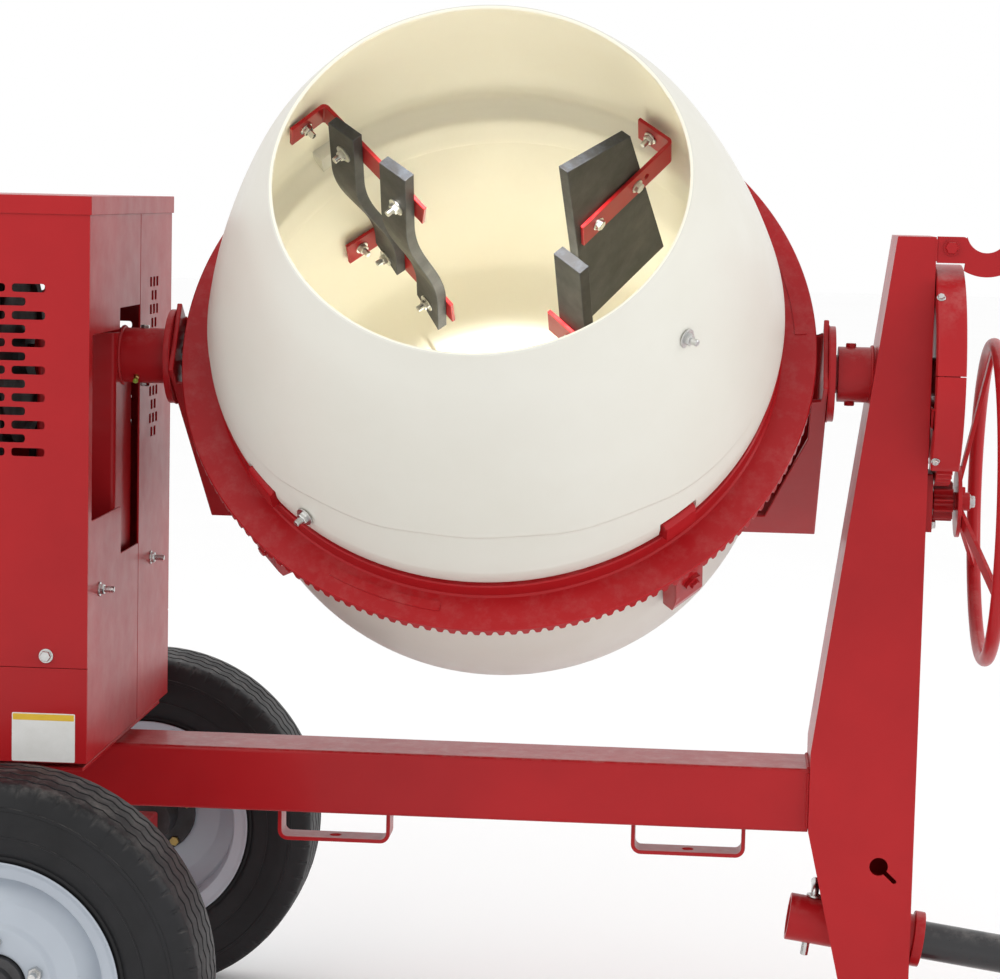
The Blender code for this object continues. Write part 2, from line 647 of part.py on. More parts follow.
def make_trunnions(cradle):
    """The shafts that the cradle tilts on, each with its disc against the yoke."""
    face, disc = YOKE_X + GAP, 0.0107
    front = [(0, 0.722), (0.0275, 0.722), (SHAFT_RADIUS, 0.7195), (SHAFT_RADIUS, face + disc),
             (HUB_DISC, face + disc), (HUB_DISC, face), (0, face)]
    turned("front_trunnion", front, RED, cradle, 28, closed=False, turn=FACING["X"])
    bore, journal = 0.018, 0.032
    rear = [(HUB_DISC, -face), (HUB_DISC, -face - disc), (journal, -face - disc),
            (journal, -0.735), (bore, -0.735), (bore, -face)]
    turned("rear_trunnion", rear, RED, cradle, 28, turn=FACING["X"])
    phase = -pi / 2 - cradle.rotation_euler.x
    outline = gear_outline(TILT_TEETH, TILT_PITCH, 0.004, 0.005, 0.0064, phase)
    gear = plate(0.024, outline, circle(clear_of(SHAFT_RADIUS)))
    add("tilt_gear", gear, RED, cradle, (0.698, 0, 0), FACING["X"])
    floor = -YOKE_DEPTH + YOKE_WEB + GAP
    spindle = [(0, -0.300), (0.027, -0.300), (0.030, -0.303), (0.030, floor + 0.010),
               (0.052, floor + 0.010), (0.052, floor), (0, floor)]
    turned("drum_spindle", spindle, CAST, cradle, 20, closed=False)


# ------------------------------------------------------------------ drum
def drum_outline():
    """The drum's outer line as radius and height, from the mouth down to the floor."""
    return [(0.306, 0.5180), (0.347, 0.450), (0.388, 0.350), (0.421, 0.250), (0.4435, 0.160),
            (0.4470, 0.130), (0.4430, 0.104), (DRUM_GROOVE, 0.094), (DRUM_GROOVE, 0.036),
            (0.4345, 0.024), (0.4350, -0.080), (0.4290, -0.190), (0.4080, -0.282), (0.3780, -0.332),
            (0.3100, -0.372), (0.250, -0.385)]


def drum_inner():
    """The inner line, a wall inside the outer one, with a ridge behind the groove."""
    outer = drum_outline()
    above = [(radius - DRUM_WALL, height) for radius, height in outer if height > 0.14 and height != 0.450]
    ridge = [(0.4370, 0.125), (0.4085, 0.100), (0.4085, 0.030)]
    below = [(radius - DRUM_WALL, height + (DRUM_WALL if height < -0.32 else 0.0))
             for radius, height in outer if height < 0.03]
    return above + ridge + below


def drum_room(height):
    """The least inner radius of the faceted drum at a height."""
    line = drum_inner()
    for (top_radius, top), (low_radius, low) in zip(line, line[1:]):
        if low <= height <= top:
            part = (height - low) / (top - low)
            return (low_radius + part * (top_radius - low_radius)) * cos(pi / DRUM_SIDES)
    return line[0][0] * cos(pi / DRUM_SIDES)


def make_drum_shell(drum):
    """The moulded drum: one wall with a groove for the ring and a pocket at each lug."""
    outer = drum_outline()
    floor, neck = outer[-1][1], 0.0553
    bottom = [(neck, floor), (neck, floor + DRUM_WALL)]
    lip = [(0.2980, 0.5190), (0.3020, 0.5224)]
    line = outer + bottom + drum_inner()[::-1] + lip
    shell = turned("drum_shell", line, CREAM, drum, DRUM_SIDES)
    patches, pockets = [], []
    for angle in LUG_ANGLES:
        out, turn = Vector((cos(angle), sin(angle), 0)), (0, 0, angle)
        patches.append(tool(block(0.030, 0.082, 0.0535), drum, out * 0.4236 + Vector((0, 0, 0.1213)), turn))
        pockets.append(tool(block(0.060, 0.062, 0.044), drum, out * 0.4466 + Vector((0, 0, 0.1152)), turn))
    fuse(shell, *patches)
    cut(shell, *pockets)


def stitch(bm, first, second):
    """Triangles between two rings of corners that start at the same angle."""
    i, j = 0, 0
    while i < len(first) or j < len(second):
        edge = (first[i % len(first)], second[j % len(second)])
        if (i + 0.5) / len(first) <= (j + 0.5) / len(second):
            i += 1
            bm.faces.new((*edge, first[i % len(first)]))
        else:
            j += 1
            bm.faces.new((*edge, second[j % len(second)]))


def make_ring(drum):
    """The ring gear: a raised rim and a flange with teeth underneath, which taper towards the axis."""
    loops = [(RING_BORE, RING_ROOT, 48), (RING_BORE, RING_RIM_TOP, 48), (RING_STEP, RING_RIM_TOP, 48),
             (RING_STEP, RING_FACE, 48), (RING_RADIUS, RING_FACE, 2 * RING_TEETH),
             (RING_RADIUS, RING_TIP, 2 * RING_TEETH), (RING_STEP + 0.004, RING_ROOT, RING_TEETH)]
    bm = bmesh.new()
    rings = []
    for radius, height, sides in loops:
        rings.append([bm.verts.new((x, y, height)) for x, y in circle(radius, sides)])
    for valley in rings[-2][::2]:
        valley.co.z = RING_ROOT
    for ring, after in zip(rings, rings[1:] + rings[:1]):
        stitch(bm, ring, after)
    bmesh.ops.recalc_face_normals(bm, faces=bm.faces)
    add("ring_gear", from_bmesh(bm), RED, drum)


def make_lugs(drum):
    """Four hooked lugs that hold the ring in the drum's groove."""
    line = [(0.4170, 0.1220), (0.4460, 0.1250), (0.4500, 0.1200), (0.4500, RING_RIM_TOP + GAP),
            (0.4231, RING_RIM_TOP + GAP), (0.4231, 0.0420), (0.4655, 0.0420), (0.4685, 0.0380),
            (0.4685, -0.0950), (0.4620, -0.1200), (0.4395, -0.1300), (0.4395, 0.0364),
            (0.4170, 0.0364)]
    for number, angle in enumerate(LUG_ANGLES, 1):
        add(f"ring_lug_{number}", plate(2 * LUG_HALF, line), RED, drum, (0, 0, 0), (pi / 2, 0, angle))


def bracket_seat(shift, height, dip):
    """How far out a bracket's foot can sit before one of its edges meets the wall."""
    corner = max(abs(shift), abs(shift + BRACKET_FOOT))
    rooms = []
    for step in (-2, -1, 0, 1, 2):
        up = step * BRACKET_WIDTH / 4
        room = (drum_room(height + up * cos(dip)) ** 2 - corner ** 2) ** 0.5
        rooms.append(room + up * sin(dip))
    return min(rooms) - 0.0005


def make_bracket(drum, name, angle, shift, height, reach, dip):
    """A flat bar bent at a right angle: a foot along the wall and an arm towards the axis."""
    seat = bracket_seat(shift, height, radians(dip))
    bend = 0.010
    inside = bend - BRACKET_STEEL
    low = -BRACKET_STEEL
    line = ([(reach, 0), (reach, low)]
            + arc(seat - bend, low + bend, bend, -90, 0, 4) + [(seat, BRACKET_FOOT)]
            + [(seat - BRACKET_STEEL, BRACKET_FOOT)]
            + arc(seat - bend, low + bend, inside, 0, -90, 3))
    turn = Matrix.Rotation(radians(angle), 4, "Z")
    place = turn @ Matrix.Translation((seat, shift, height)) @ Matrix.Rotation(radians(-dip), 4, "Y")
    mesh = plate(BRACKET_WIDTH, line)
    mesh.transform(place @ Matrix.Translation((-seat, 0, 0)))
    add(name, mesh, RED, drum)


def board_point(upper, lower, across, height, through):
    """A point of a board, which eases from its lower flat length to its upper one."""
    share = min(max((height - BEND_LOW) / (BEND_TOP - BEND_LOW), 0.0), 1.0)
    share = share * share * (3 - 2 * share)
    point = Vector((0, 0, height))
    for part, (angle, shift, radius, slope) in ((share, upper), (1 - share, lower)):
        out = Vector((cos(radians(angle)), sin(radians(angle)), 0))
        along = Vector((-out.y, out.x, 0))
        point += part * (out * (radius + slope * height + across) + along * (shift + through))
    return point


def make_paddle(drum, name, upper, lower, corners):
    """A board bolted against its brackets, drawn as rows of corners from its top to its bottom."""
    (outer_top, inner_top, inner_low, outer_low) = [Vector(corner) for corner in corners]
    steps = 1 if upper == lower else 12
    bm = bmesh.new()
    rows = []
    for step in range(steps + 1):
        outer, inner = outer_top.lerp(outer_low, step / steps), inner_top.lerp(inner_low, step / steps)
        spots = [(outer, 0), (inner, 0), (inner, PADDLE_THICKNESS), (outer, PADDLE_THICKNESS)]
        rows.append([bm.verts.new(board_point(upper, lower, *where, through))
                     for where, through in spots])
    for first, second in zip(rows, rows[1:]):
        stitch(bm, first, second)
    bm.faces.new(rows[0])
    bm.faces.new(rows[-1])
    bmesh.ops.recalc_face_normals(bm, faces=bm.faces)
    add(name, from_bmesh(bm), BOARD, drum)


def make_drum(drum):
    make_drum_shell(drum)
    make_ring(drum)
    make_lugs(drum)
    for spec in BRACKETS:
        make_bracket(drum, *spec)
    for spec in PADDLES:
        make_paddle(drum, *spec)
    floor = drum_outline()[-1][1] + DRUM_WALL + GAP
    bore = clear_of(SHAFT_RADIUS)
    hub = [(0, -0.285), (0.030, -0.285), (0.055, -0.320), (0.055, floor + 0.010),
           (0.100, floor + 0.008), (0.100, floor), (0.055, floor), (0.055, -0.398),
           (bore, -0.398), (bore, -0.2965), (0, -0.2965)]
    turned("drum_hub", hub, CAST, drum, 24, closed=False)


# ------------------------------------------------------------------ drum drive
def make_drive(drive):
    """Shaft, pinion and pulley that turn on the tilt axis; local Z runs along world X."""
    inner_end, outer_end = -DRIVE_FACE[0], -0.803
    shaft = rod(DRIVE_SHAFT_RADIUS, inner_end - outer_end, 20)
    add("drive_shaft", shaft, ZINC, drive, (0, 0, (inner_end + outer_end) / 2))
    pitch = (DRIVE_FACE[0] + DRIVE_FACE[1]) / 2 * DRIVE_TEETH / RING_TEETH
    outline = gear_outline(DRIVE_TEETH, pitch, 0.0523 - pitch, pitch - 0.0415, 0.0050, pi / 2)
    width = DRIVE_FACE[1] - DRIVE_FACE[0]
    pinion = plate(width, outline, circle(clear_of(DRIVE_SHAFT_RADIUS)))
    add("drive_pinion", pinion, CAST, drive, (0, 0, -sum(DRIVE_FACE) / 2))
    turned("drive_pulley", pulley_profile(PULLEY_RADIUS, clear_of(DRIVE_SHAFT_RADIUS), 0.035), CAST,
           drive, 28, at=(0, 0, PULLEY_X))


# ------------------------------------------------------------------ tilt drive
def make_handwheel(axis):
    """Dished handwheel on its shaft with the small pinion; local Z runs along world X."""
    hub_z, steps = 0.7235, 28
    rim = [(HANDWHEEL_RADIUS + x, HANDWHEEL_X + z) for x, z in circle(HANDWHEEL_RIM, 7)[::-1]]
    wheel = turned("handwheel", rim, RED, axis, steps)
    reach = HANDWHEEL_RADIUS - 0.030
    rise = HANDWHEEL_X - hub_z - 0.0045
    slope = atan2(rise, reach)
    for spoke in (90, 210, 330):
        angle = radians(spoke)
        mid = 0.030 + reach / 2
        bar = tool(block(hypot(reach, rise), 0.024, 0.006), axis,
                   (mid * cos(angle), mid * sin(angle), hub_z + 0.0045 + rise / 2),
                   (Matrix.Rotation(angle, 3, "Z") @ Matrix.Rotation(-slope, 3, "Y")).to_euler())
        fuse(wheel, bar)
    fuse(wheel,
         tool(rod(0.0565, 0.006, 24), axis, (0, 0, hub_z + 0.003)),
         tool(rod(WHEEL_SHAFT_RADIUS, 0.140, 20), axis, (0, 0, 0.675)))
    outline = gear_outline(PINION_TEETH, PINION_PITCH, 0.004, 0.005, 0.0060, pi / 2 + pi / PINION_TEETH)
    pinion = plate(0.030, outline, circle(clear_of(WHEEL_SHAFT_RADIUS)))
    add("tilt_pinion", pinion, RED, axis, (0, 0, 0.703))


def make_guard(root):
    """Sheet guard round the tilt gear: an upper arch and a lower piece open at the pinion."""
    inner_radius = 0.140
    line = [(inner_radius, GUARD_BACK), (GUARD_RADIUS, GUARD_BACK), (GUARD_RADIUS, GUARD_FRONT),
            (inner_radius, GUARD_FRONT)]
    start = degrees(atan2(GUARD_JOINT, GUARD_RADIUS))
    upper = guard_arc("gear_guard_upper", line, start, 180 - start, 20, root)
    solidify(upper, 0.0022)
    low = 55.0
    lower = guard_arc("gear_guard_lower", line, start - 0.4 - low, start - 0.4, 7, root)
    solidify(lower, 0.0022)
    far = guard_arc("tool", line, 180 - start + 0.4, 180 - start + 0.4 + low, 7, root, hidden=True)
    solidify(far, 0.0022)
    strap = tool(block(0.0022, 0.30, 0.030), root, (GUARD_BACK + 0.0011, 0, TILT_Z - 0.058))
    fuse(lower, far, strap)


def guard_arc(name, line, start, end, steps, root, hidden=False):
    """An open channel swept about the tilt axis between two angles."""
    bm = bmesh.new()
    rows = []
    for i in range(steps + 1):
        angle = radians(start + (end - start) * i / steps)
        rows.append([bm.verts.new((x, radius * cos(angle), radius * sin(angle))) for radius, x in line])
    for low_row, high_row in zip(rows, rows[1:]):
        for i in range(len(line) - 1):
            bm.faces.new((low_row[i], low_row[i + 1], high_row[i + 1], high_row[i]))
    bmesh.ops.recalc_face_normals(bm, faces=bm.faces)
    mesh = from_bmesh(bm)
    if hidden:
        return tool(mesh, root, (0, 0, TILT_Z))
    return add(name, mesh, RED, root, (0, 0, TILT_Z))


def make_pinion_bearing(root):
    thickness = 0.0115
    x = COLUMN_FACE + GAP + thickness / 2
    outline = rectangle(-0.042, -0.046, 0.042, 0.046)
    mesh = plate(thickness, outline, circle(clear_of(WHEEL_SHAFT_RADIUS)))
    bearing = add("pinion_bearing", mesh, RED, root, (x, 0, HANDWHEEL_Z), FACING["X"])
    bevel(bearing, 0.0015)


# ------------------------------------------------------------------ road wheels
def tyre_line():
    """The tyre's section as radius and width, down its outer side from bead to bead."""
    bead = clear_of(RIM_SEAT, 28)
    half = [(bead, 0.0550), (0.1895, 0.0630), (0.2050, 0.0790), (0.2500, 0.0875),
            (0.2920, 0.0780), (TYRE_RADIUS, 0.0620)]
    return half + [(radius, -width) for radius, width in reversed(half)]


def rim_line():
    """The pressed rim: barrel with two flanges, and a stepped disc with a raised middle."""
    return [(0.1885, 0.0710), (RIM_SEAT, 0.0565), (RIM_SEAT, -0.0565), (0.1885, -0.0710),
            (0.1615, -0.0580), (0.1615, 0.0180), (0.1500, 0.0140), (0.1200, 0.0300),
            (0.0780, 0.0360), (0.0460, 0.0360), (0.0460, 0.0405), (0.0820, 0.0405),
            (0.1210, 0.0345), (0.1520, 0.0185), (0.1615, 0.0235), (0.1615, 0.0580)]


def hub_line():
    """Wheel hub from its cap to its inner end, with a blind bore for the spindle."""
    bore = clear_of(SPINDLE_RADIUS)
    return [(0, 0.0700), (0.0300, 0.0700), (0.0320, 0.0520), (0.0440, 0.0500), (0.0440, 0.0357),
            (0.0740, 0.0357), (0.0740, 0.0260), (0.0430, 0.0240), (0.0420, -0.0450),
            (bore, -0.0450), (bore, 0.0500), (0, 0.0500)]


def make_wheel(root, side, sign, yaw):
    """One wheel; local Z runs outboard along the axle."""
    axis = axis_empty(f"{side}_wheel_axis", (WHEEL_X, sign * WHEEL_Y, TYRE_RADIUS),
                      (pi / 2, 0, yaw), root)
    turned(f"tyre_{side}", tyre_line(), RUBBER, axis, 28)
    turned(f"rim_{side}", rim_line(), SILVER, axis, 24)
    turned(f"hub_{side}", hub_line(), CAST, axis, 16, closed=False)


# ------------------------------------------------------------------ assembly
def make_mixer():
    root = axis_empty("mixer_root", (DRUM_X, 0, 0))
    pole = axis_empty("pole_line", (POLE_POINT[0], 0, POLE_POINT[1]), (0, POLE_DROP, 0), root)
    cradle = axis_empty("tilt_axis", (0, 0, TILT_Z), (pi / 2 - MOUTH_UP, 0, 0), root)
    drum = axis_empty("drum_axis", (0, 0, 0), parent=cradle)
    drive = axis_empty("drive_axis", (0, 0, 0), FACING["X"], cradle)
    handwheel = axis_empty("handwheel_axis", (0, 0, HANDWHEEL_Z), FACING["X"], root)
    make_chassis(root)
    make_column(root, pole)
    make_pole(pole)
    make_cowl(root)
    make_engine(root)
    make_belt(root)
    make_guard(root)
    make_pinion_bearing(root)
    make_yoke(cradle)
    make_trunnions(cradle)
    make_drum(drum)
    make_drive(drive)
    make_handwheel(handwheel)
    make_wheel(root, "near", -1, 0)
    make_wheel(root, "far", 1, pi)


clear_scene()
MIXER = new_collection("concrete_mixer")
CUTTERS = new_collection("cutters")
make_mixer()
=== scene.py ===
"""Looks of the towable drum concrete mixer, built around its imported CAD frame.

Metres, +Z up. Most shapes are drawn in the machine's own axes, whose X starts under the drum's
centre, and are then moved by ROOT. The drum's pieces are drawn about the drum's axis.
"""

from math import acos, atan2, cos, degrees, hypot, pi, radians, sin, tau

import bmesh
import bpy
from mathutils import Euler, Matrix, Vector


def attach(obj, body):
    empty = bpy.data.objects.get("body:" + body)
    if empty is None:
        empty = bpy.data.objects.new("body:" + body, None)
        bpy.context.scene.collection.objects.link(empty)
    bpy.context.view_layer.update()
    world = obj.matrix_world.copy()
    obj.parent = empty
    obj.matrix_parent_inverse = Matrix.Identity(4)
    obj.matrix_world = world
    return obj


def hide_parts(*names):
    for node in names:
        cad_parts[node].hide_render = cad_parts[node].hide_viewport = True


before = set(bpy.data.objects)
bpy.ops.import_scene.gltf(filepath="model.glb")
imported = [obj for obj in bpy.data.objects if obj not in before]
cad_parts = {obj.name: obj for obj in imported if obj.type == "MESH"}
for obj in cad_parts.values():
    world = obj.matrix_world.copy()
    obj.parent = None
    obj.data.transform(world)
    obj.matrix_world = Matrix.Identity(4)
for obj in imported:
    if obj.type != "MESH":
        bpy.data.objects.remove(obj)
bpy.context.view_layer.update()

# ------------------------------------------------------------------ driving dimensions
DRUM_X, TILT_Z = -0.0983, 1.178
MOUTH_UP = radians(34.88)
BEAM_BOTTOM, BEAM_TOP, BEAM_WIDTH = 0.4572, 0.5588, 0.127
BEAM_REAR, BEAM_FRONT = -1.20, 0.5077
STEEL, SHEET = 0.006, 0.003
COLUMN_HALF, COLUMN_FACE = 0.08, 0.673
WHEEL_X, WHEEL_Y, TYRE_RADIUS, RIM_SEAT, STUD_CIRCLE = -0.661, 0.536, 0.305, 0.1668, 0.0635
COWL_REAR, COWL_FRONT, COWL_HALF = -1.230, -0.590, 0.310
COWL_BOTTOM, COWL_SEAM, COWL_TOP, COWL_SPLIT = 0.575, 0.721, 1.431, 0.056
RING_RADIUS, RING_TEETH, DRIVE_TEETH = 0.4976, 170, 17
RING_FACE, RING_ROOT, RING_TIP, RING_RIM_TOP = 0.0608, 0.0540, 0.0430, 0.0908
RING_BORE, RING_STEP, DRUM_GROOVE, DRUM_WALL = 0.4255, 0.441, 0.4165, 0.008
LUG_ANGLES = (-48.5, 41.5, 131.5, 221.5)
YOKE_X, YOKE_HALF, YOKE_DEPTH, YOKE_WEB = 0.516, 0.0625, 0.420, 0.008
HUB_DISC = 0.075
GEAR_MODULE, TILT_TEETH, PINION_TEETH = 0.005, 67, 11
TILT_PITCH, PINION_PITCH = TILT_TEETH * GEAR_MODULE / 2, PINION_TEETH * GEAR_MODULE / 2
HANDWHEEL_Z, HANDWHEEL_X = TILT_Z - TILT_PITCH - PINION_PITCH, 0.775
HANDWHEEL_RADIUS, HANDWHEEL_RIM = 0.2465, 0.0115
GUARD_RADIUS, GUARD_JOINT, GUARD_BACK, GUARD_FRONT = 0.176, 0.012, 0.6745, 0.7185
POLE_RADIUS, SOCKET_RADIUS, PIN_X = 0.030, 0.0375, -0.082
PIN_DOOR, PIN_DOOR_AT = (0.070, 0.078, 0.190), (0.525, 0.022, 0.425)   # lets the pin out through the column
PULLEY_X, PULLEY_RADIUS, SMALL_PULLEY_RADIUS, ENGINE_Z = -0.778, 0.150, 0.045, 0.800

FACE_X = Euler((pi / 2, 0, pi / 2)).to_matrix().to_4x4()   # local x, y, z run along Y, Z, X
FACE_Y = Euler((pi / 2, 0, 0)).to_matrix().to_4x4()        # local x, y, z run along X, Z, -Y
ROOT = Matrix.Translation((DRUM_X, 0, 0))
TILT = ROOT @ Matrix.Translation((0, 0, TILT_Z))
CRADLE = TILT @ Matrix.Rotation(pi / 2 - MOUTH_UP, 4, "X")
POLE = ROOT @ Matrix.Translation((0.600, 0, 0.290)) @ Matrix.Rotation(radians(8.0), 4, "Y")
HAND = ROOT @ Matrix.Translation((0, 0, HANDWHEEL_Z)) @ FACE_X


def spot(x=0.0, y=0.0, z=0.0, facing=None):
    where = Matrix.Translation((x, y, z))
    return where @ facing if facing else where


def towards(point, direction):
    """The placing that sets local Z along a direction at a point."""
    turn = Vector(direction).to_track_quat("Z", "Y").to_matrix().to_4x4()
    return Matrix.Translation(point) @ turn


def around(radius, angle, height=0.0):
    """A point at an angle in degrees round local Z."""
    return (radius * cos(radians(angle)), radius * sin(radians(angle)), height)


def about(degrees_turned, axis="Z"):
    return Matrix.Rotation(radians(degrees_turned), 4, axis)


# ------------------------------------------------------------------ finishes
class Shader:
    """A material's node tree, with short names for the nodes that the finishes share."""

    def __init__(self, name):
        self.material = bpy.data.materials.new(name)
        self.material.use_nodes = True
        self.tree = self.material.node_tree
        self.main = self.tree.nodes["Principled BSDF"]
        self.place = self.tree.nodes.new("ShaderNodeTexCoord")

    def link(self, source, target):
        self.tree.links.new(source, target)

    def noise(self, scale, detail=4.0, roughness=0.55, stretch=None):
        node = self.tree.nodes.new("ShaderNodeTexNoise")
        node.inputs["Scale"].default_value = scale
        node.inputs["Detail"].default_value = detail
        node.inputs["Roughness"].default_value = roughness
        source = self.place.outputs["Object"]
        if stretch:
            mapping = self.tree.nodes.new("ShaderNodeMapping")
            mapping.inputs["Scale"].default_value = stretch
            self.link(source, mapping.inputs["Vector"])
            source = mapping.outputs["Vector"]
        self.link(source, node.inputs["Vector"])
        return node.outputs["Fac"]

    def spread(self, source, low, high, to_low=0.0, to_high=1.0):
        node = self.tree.nodes.new("ShaderNodeMapRange")
        node.inputs["From Min"].default_value = low
        node.inputs["From Max"].default_value = high
        node.inputs["To Min"].default_value = to_low
        node.inputs["To Max"].default_value = to_high
        self.link(source, node.inputs["Value"])
        return node.outputs["Result"]

    def multiply(self, first, second):
        node = self.tree.nodes.new("ShaderNodeMath")
        node.operation = "MULTIPLY"
        self.link(first, node.inputs[0])
        self.link(second, node.inputs[1])
        return node.outputs["Value"]

    def mix(self, share, first, second):
        node = self.tree.nodes.new("ShaderNodeMix")
        node.data_type = "RGBA"
        self.link(share, node.inputs["Factor"])
        for socket, colour in ((node.inputs[6], first), (node.inputs[7], second)):
            if isinstance(colour, tuple):
                socket.default_value = (*colour, 1)
            else:
                self.link(colour, socket)
        return node.outputs[2]

    def facing_up(self):
        split = self.tree.nodes.new("ShaderNodeSeparateXYZ")
        self.link(self.place.outputs["Normal"], split.inputs["Vector"])
        return self.spread(split.outputs["Z"], 0.35, 0.95)

    def bump(self, source, strength, distance):
        node = self.tree.nodes.new("ShaderNodeBump")
        node.inputs["Strength"].default_value = strength
        node.inputs["Distance"].default_value = distance
        self.link(source, node.inputs["Height"])
        self.link(node.outputs["Normal"], self.main.inputs["Normal"])


def finish(name, colour, deep, rough, grain, *, metallic=0.0, coat=0.0, patch=3.0, dust_and_sheen=None,
           stretch=None, specular=0.5):
    """A finish whose colour drifts in soft patches, with a fine grain and a top-face tint: dust, and on the
    paddle boards a painted sky reflection.

    rough is the range of roughness; grain is the scale, strength and depth of the bump."""
    shader = Shader(name)
    main = shader.main
    patches = shader.spread(shader.noise(patch, 5.0, 0.6), 0.34, 0.68)
    tone = shader.mix(patches, colour, deep)
    # Up-facing specks take the tint: real dust on most finishes, a painted sky reflection on the paddle
    # boards.
    if dust_and_sheen:
        specks = shader.spread(shader.noise(34.0, 6.0, 0.7), 0.46, 0.72)
        amount = shader.multiply(shader.facing_up(), specks)
        tone = shader.mix(shader.spread(amount, 0.0, 1.0, 0.0, dust_and_sheen[1]), tone, dust_and_sheen[0])
    shader.link(tone, main.inputs["Base Color"])
    wear = shader.noise(19.0, 6.0, 0.65, stretch)
    shader.link(shader.spread(wear, 0.30, 0.72, *rough), main.inputs["Roughness"])
    main.inputs["Metallic"].default_value = metallic
    main.inputs["Coat Weight"].default_value = coat
    main.inputs["Coat Roughness"].default_value = 0.12
    main.inputs["Specular IOR Level"].default_value = specular
    scale, strength, depth = grain
    shader.bump(shader.noise(scale, 3.0, 0.5, stretch), strength, depth)
    shader.material.diffuse_color = (*colour, 1)
    return shader.material


PALE_DUST = ((0.62, 0.58, 0.53), 0.16)
GREY_DUST = ((0.33, 0.31, 0.29), 0.30)


def worn(name, colour, deep, bare, rough, grain, **more):
    """The same paint where it runs thin along an edge, with small rubbed spots."""
    material = finish(name, colour, deep, rough, grain, **more)
    tree = material.node_tree
    main = tree.nodes["Principled BSDF"]
    tone = main.inputs["Base Color"].links[0].from_socket
    shader = Shader.__new__(Shader)
    shader.material, shader.tree, shader.main = material, tree, main
    shader.place = next(node for node in tree.nodes if node.type == "TEX_COORD")
    rubbed = shader.spread(shader.noise(85.0, 5.0, 0.7), 0.60, 0.70)
    shader.link(shader.mix(rubbed, tone, bare), main.inputs["Base Color"])
    return material


def paint_pair(name, colour, deep, bare, rough, coat, dust_and_sheen, specular=0.5):
    grain = (120.0, 0.03, 0.0004)
    light = tuple(0.82 * c + 0.18 * b for c, b in zip(colour, bare))
    return [finish(name, colour, deep, rough, grain, coat=coat, dust_and_sheen=dust_and_sheen, specular=specular),
            worn(name + "_edge", light, colour, bare, (rough[0] + 0.06, rough[1] + 0.10), grain,
                 coat=coat * 0.5, specular=specular)]


def make_finishes():
    red, deep_red, primer = (0.42, 0.0115, 0.0150), (0.35, 0.0090, 0.0125), (0.34, 0.06, 0.055)
    return {
        "red_enamel": paint_pair("red_enamel", red, deep_red, primer, (0.30, 0.40), 0.12, PALE_DUST,
                                 specular=0.18),
        "cream_polymer": [
            finish("cream_polymer", (0.73, 0.72, 0.655), (0.69, 0.675, 0.60), (0.34, 0.50),
                   (140.0, 0.10, 0.0008), patch=2.2, dust_and_sheen=((0.60, 0.56, 0.47), 0.10)),
            # The inside is the same polymer as the outside, painted much lighter: painted light for the
            # shaded interior of the drum.
            finish("cream_inside_painted_light", (0.93, 0.90, 0.78), (0.91, 0.87, 0.74), (0.38, 0.55),
                   (120.0, 0.12, 0.0008), patch=2.6)],
        "black_paint": paint_pair("black_paint", (0.012, 0.012, 0.014), (0.008, 0.008, 0.010),
                                  (0.16, 0.16, 0.17), (0.24, 0.42), 0.30, GREY_DUST),
        "paddle_board": [
            # The bluish top-face tint here, at 0.6, is a painted sky reflection on the boards' upper faces,
            # not dust.
            finish("paddle_board", (0.026, 0.025, 0.027), (0.017, 0.017, 0.020), (0.46, 0.66),
                   (420.0, 0.30, 0.0007), patch=6.0, dust_and_sheen=((0.12, 0.15, 0.20), 0.6)),
            finish("paddle_board_edge", (0.050, 0.052, 0.060), (0.030, 0.031, 0.038), (0.50, 0.70),
                   (420.0, 0.35, 0.0007), patch=20.0)],
        "tyre_rubber": [
            finish("tyre_rubber", (0.013, 0.013, 0.015), (0.008, 0.008, 0.009), (0.45, 0.64),
                   (300.0, 0.22, 0.0006), patch=7.0, dust_and_sheen=GREY_DUST, specular=0.3),
            finish("tyre_groove", (0.010, 0.010, 0.011), (0.018, 0.017, 0.016), (0.70, 0.90),
                   (300.0, 0.30, 0.0006), patch=30.0)],
        "belt_rubber": [finish("belt_rubber", (0.017, 0.017, 0.018), (0.030, 0.029, 0.028),
                               (0.60, 0.80), (500.0, 0.3, 0.0005), patch=22.0)],
        "silver_paint": paint_pair("silver_paint", (0.46, 0.51, 0.57), (0.40, 0.44, 0.50),
                                   (0.36, 0.35, 0.34), (0.26, 0.42), 0.25, GREY_DUST),
        "zinc": [finish("zinc", (0.66, 0.66, 0.64), (0.50, 0.50, 0.50), (0.20, 0.38),
                        (600.0, 0.12, 0.0004), metallic=1.0, patch=60.0)],
        "cast_iron": [finish("cast_iron", (0.085, 0.085, 0.090), (0.050, 0.048, 0.048),
                             (0.45, 0.65), (240.0, 0.45, 0.0010), metallic=0.6, patch=18.0)],
        "engine_paint": [finish("engine_paint", (0.050, 0.050, 0.054), (0.030, 0.030, 0.034),
                                (0.35, 0.55), (220.0, 0.30, 0.0010), metallic=0.1, patch=12.0)],
        "yellow_zinc": [finish("yellow_zinc", (0.52, 0.38, 0.13), (0.42, 0.30, 0.12),
                               (0.22, 0.40), (600.0, 0.12, 0.0004), metallic=1.0, patch=50.0)],
        "cap_green": [finish("cap_green", (0.30, 0.42, 0.05), (0.22, 0.33, 0.04), (0.35, 0.50),
                             (400.0, 0.1, 0.0004), patch=60.0)],
        "label_white": [finish("label_white", (0.80, 0.80, 0.78), (0.72, 0.72, 0.69),
                               (0.30, 0.45), (300.0, 0.05, 0.0003), patch=25.0)],
        "label_yellow": [finish("label_yellow", (0.78, 0.50, 0.04), (0.70, 0.44, 0.03),
                                (0.30, 0.45), (300.0, 0.05, 0.0003), patch=25.0)],
    }


FINISHES = make_finishes()


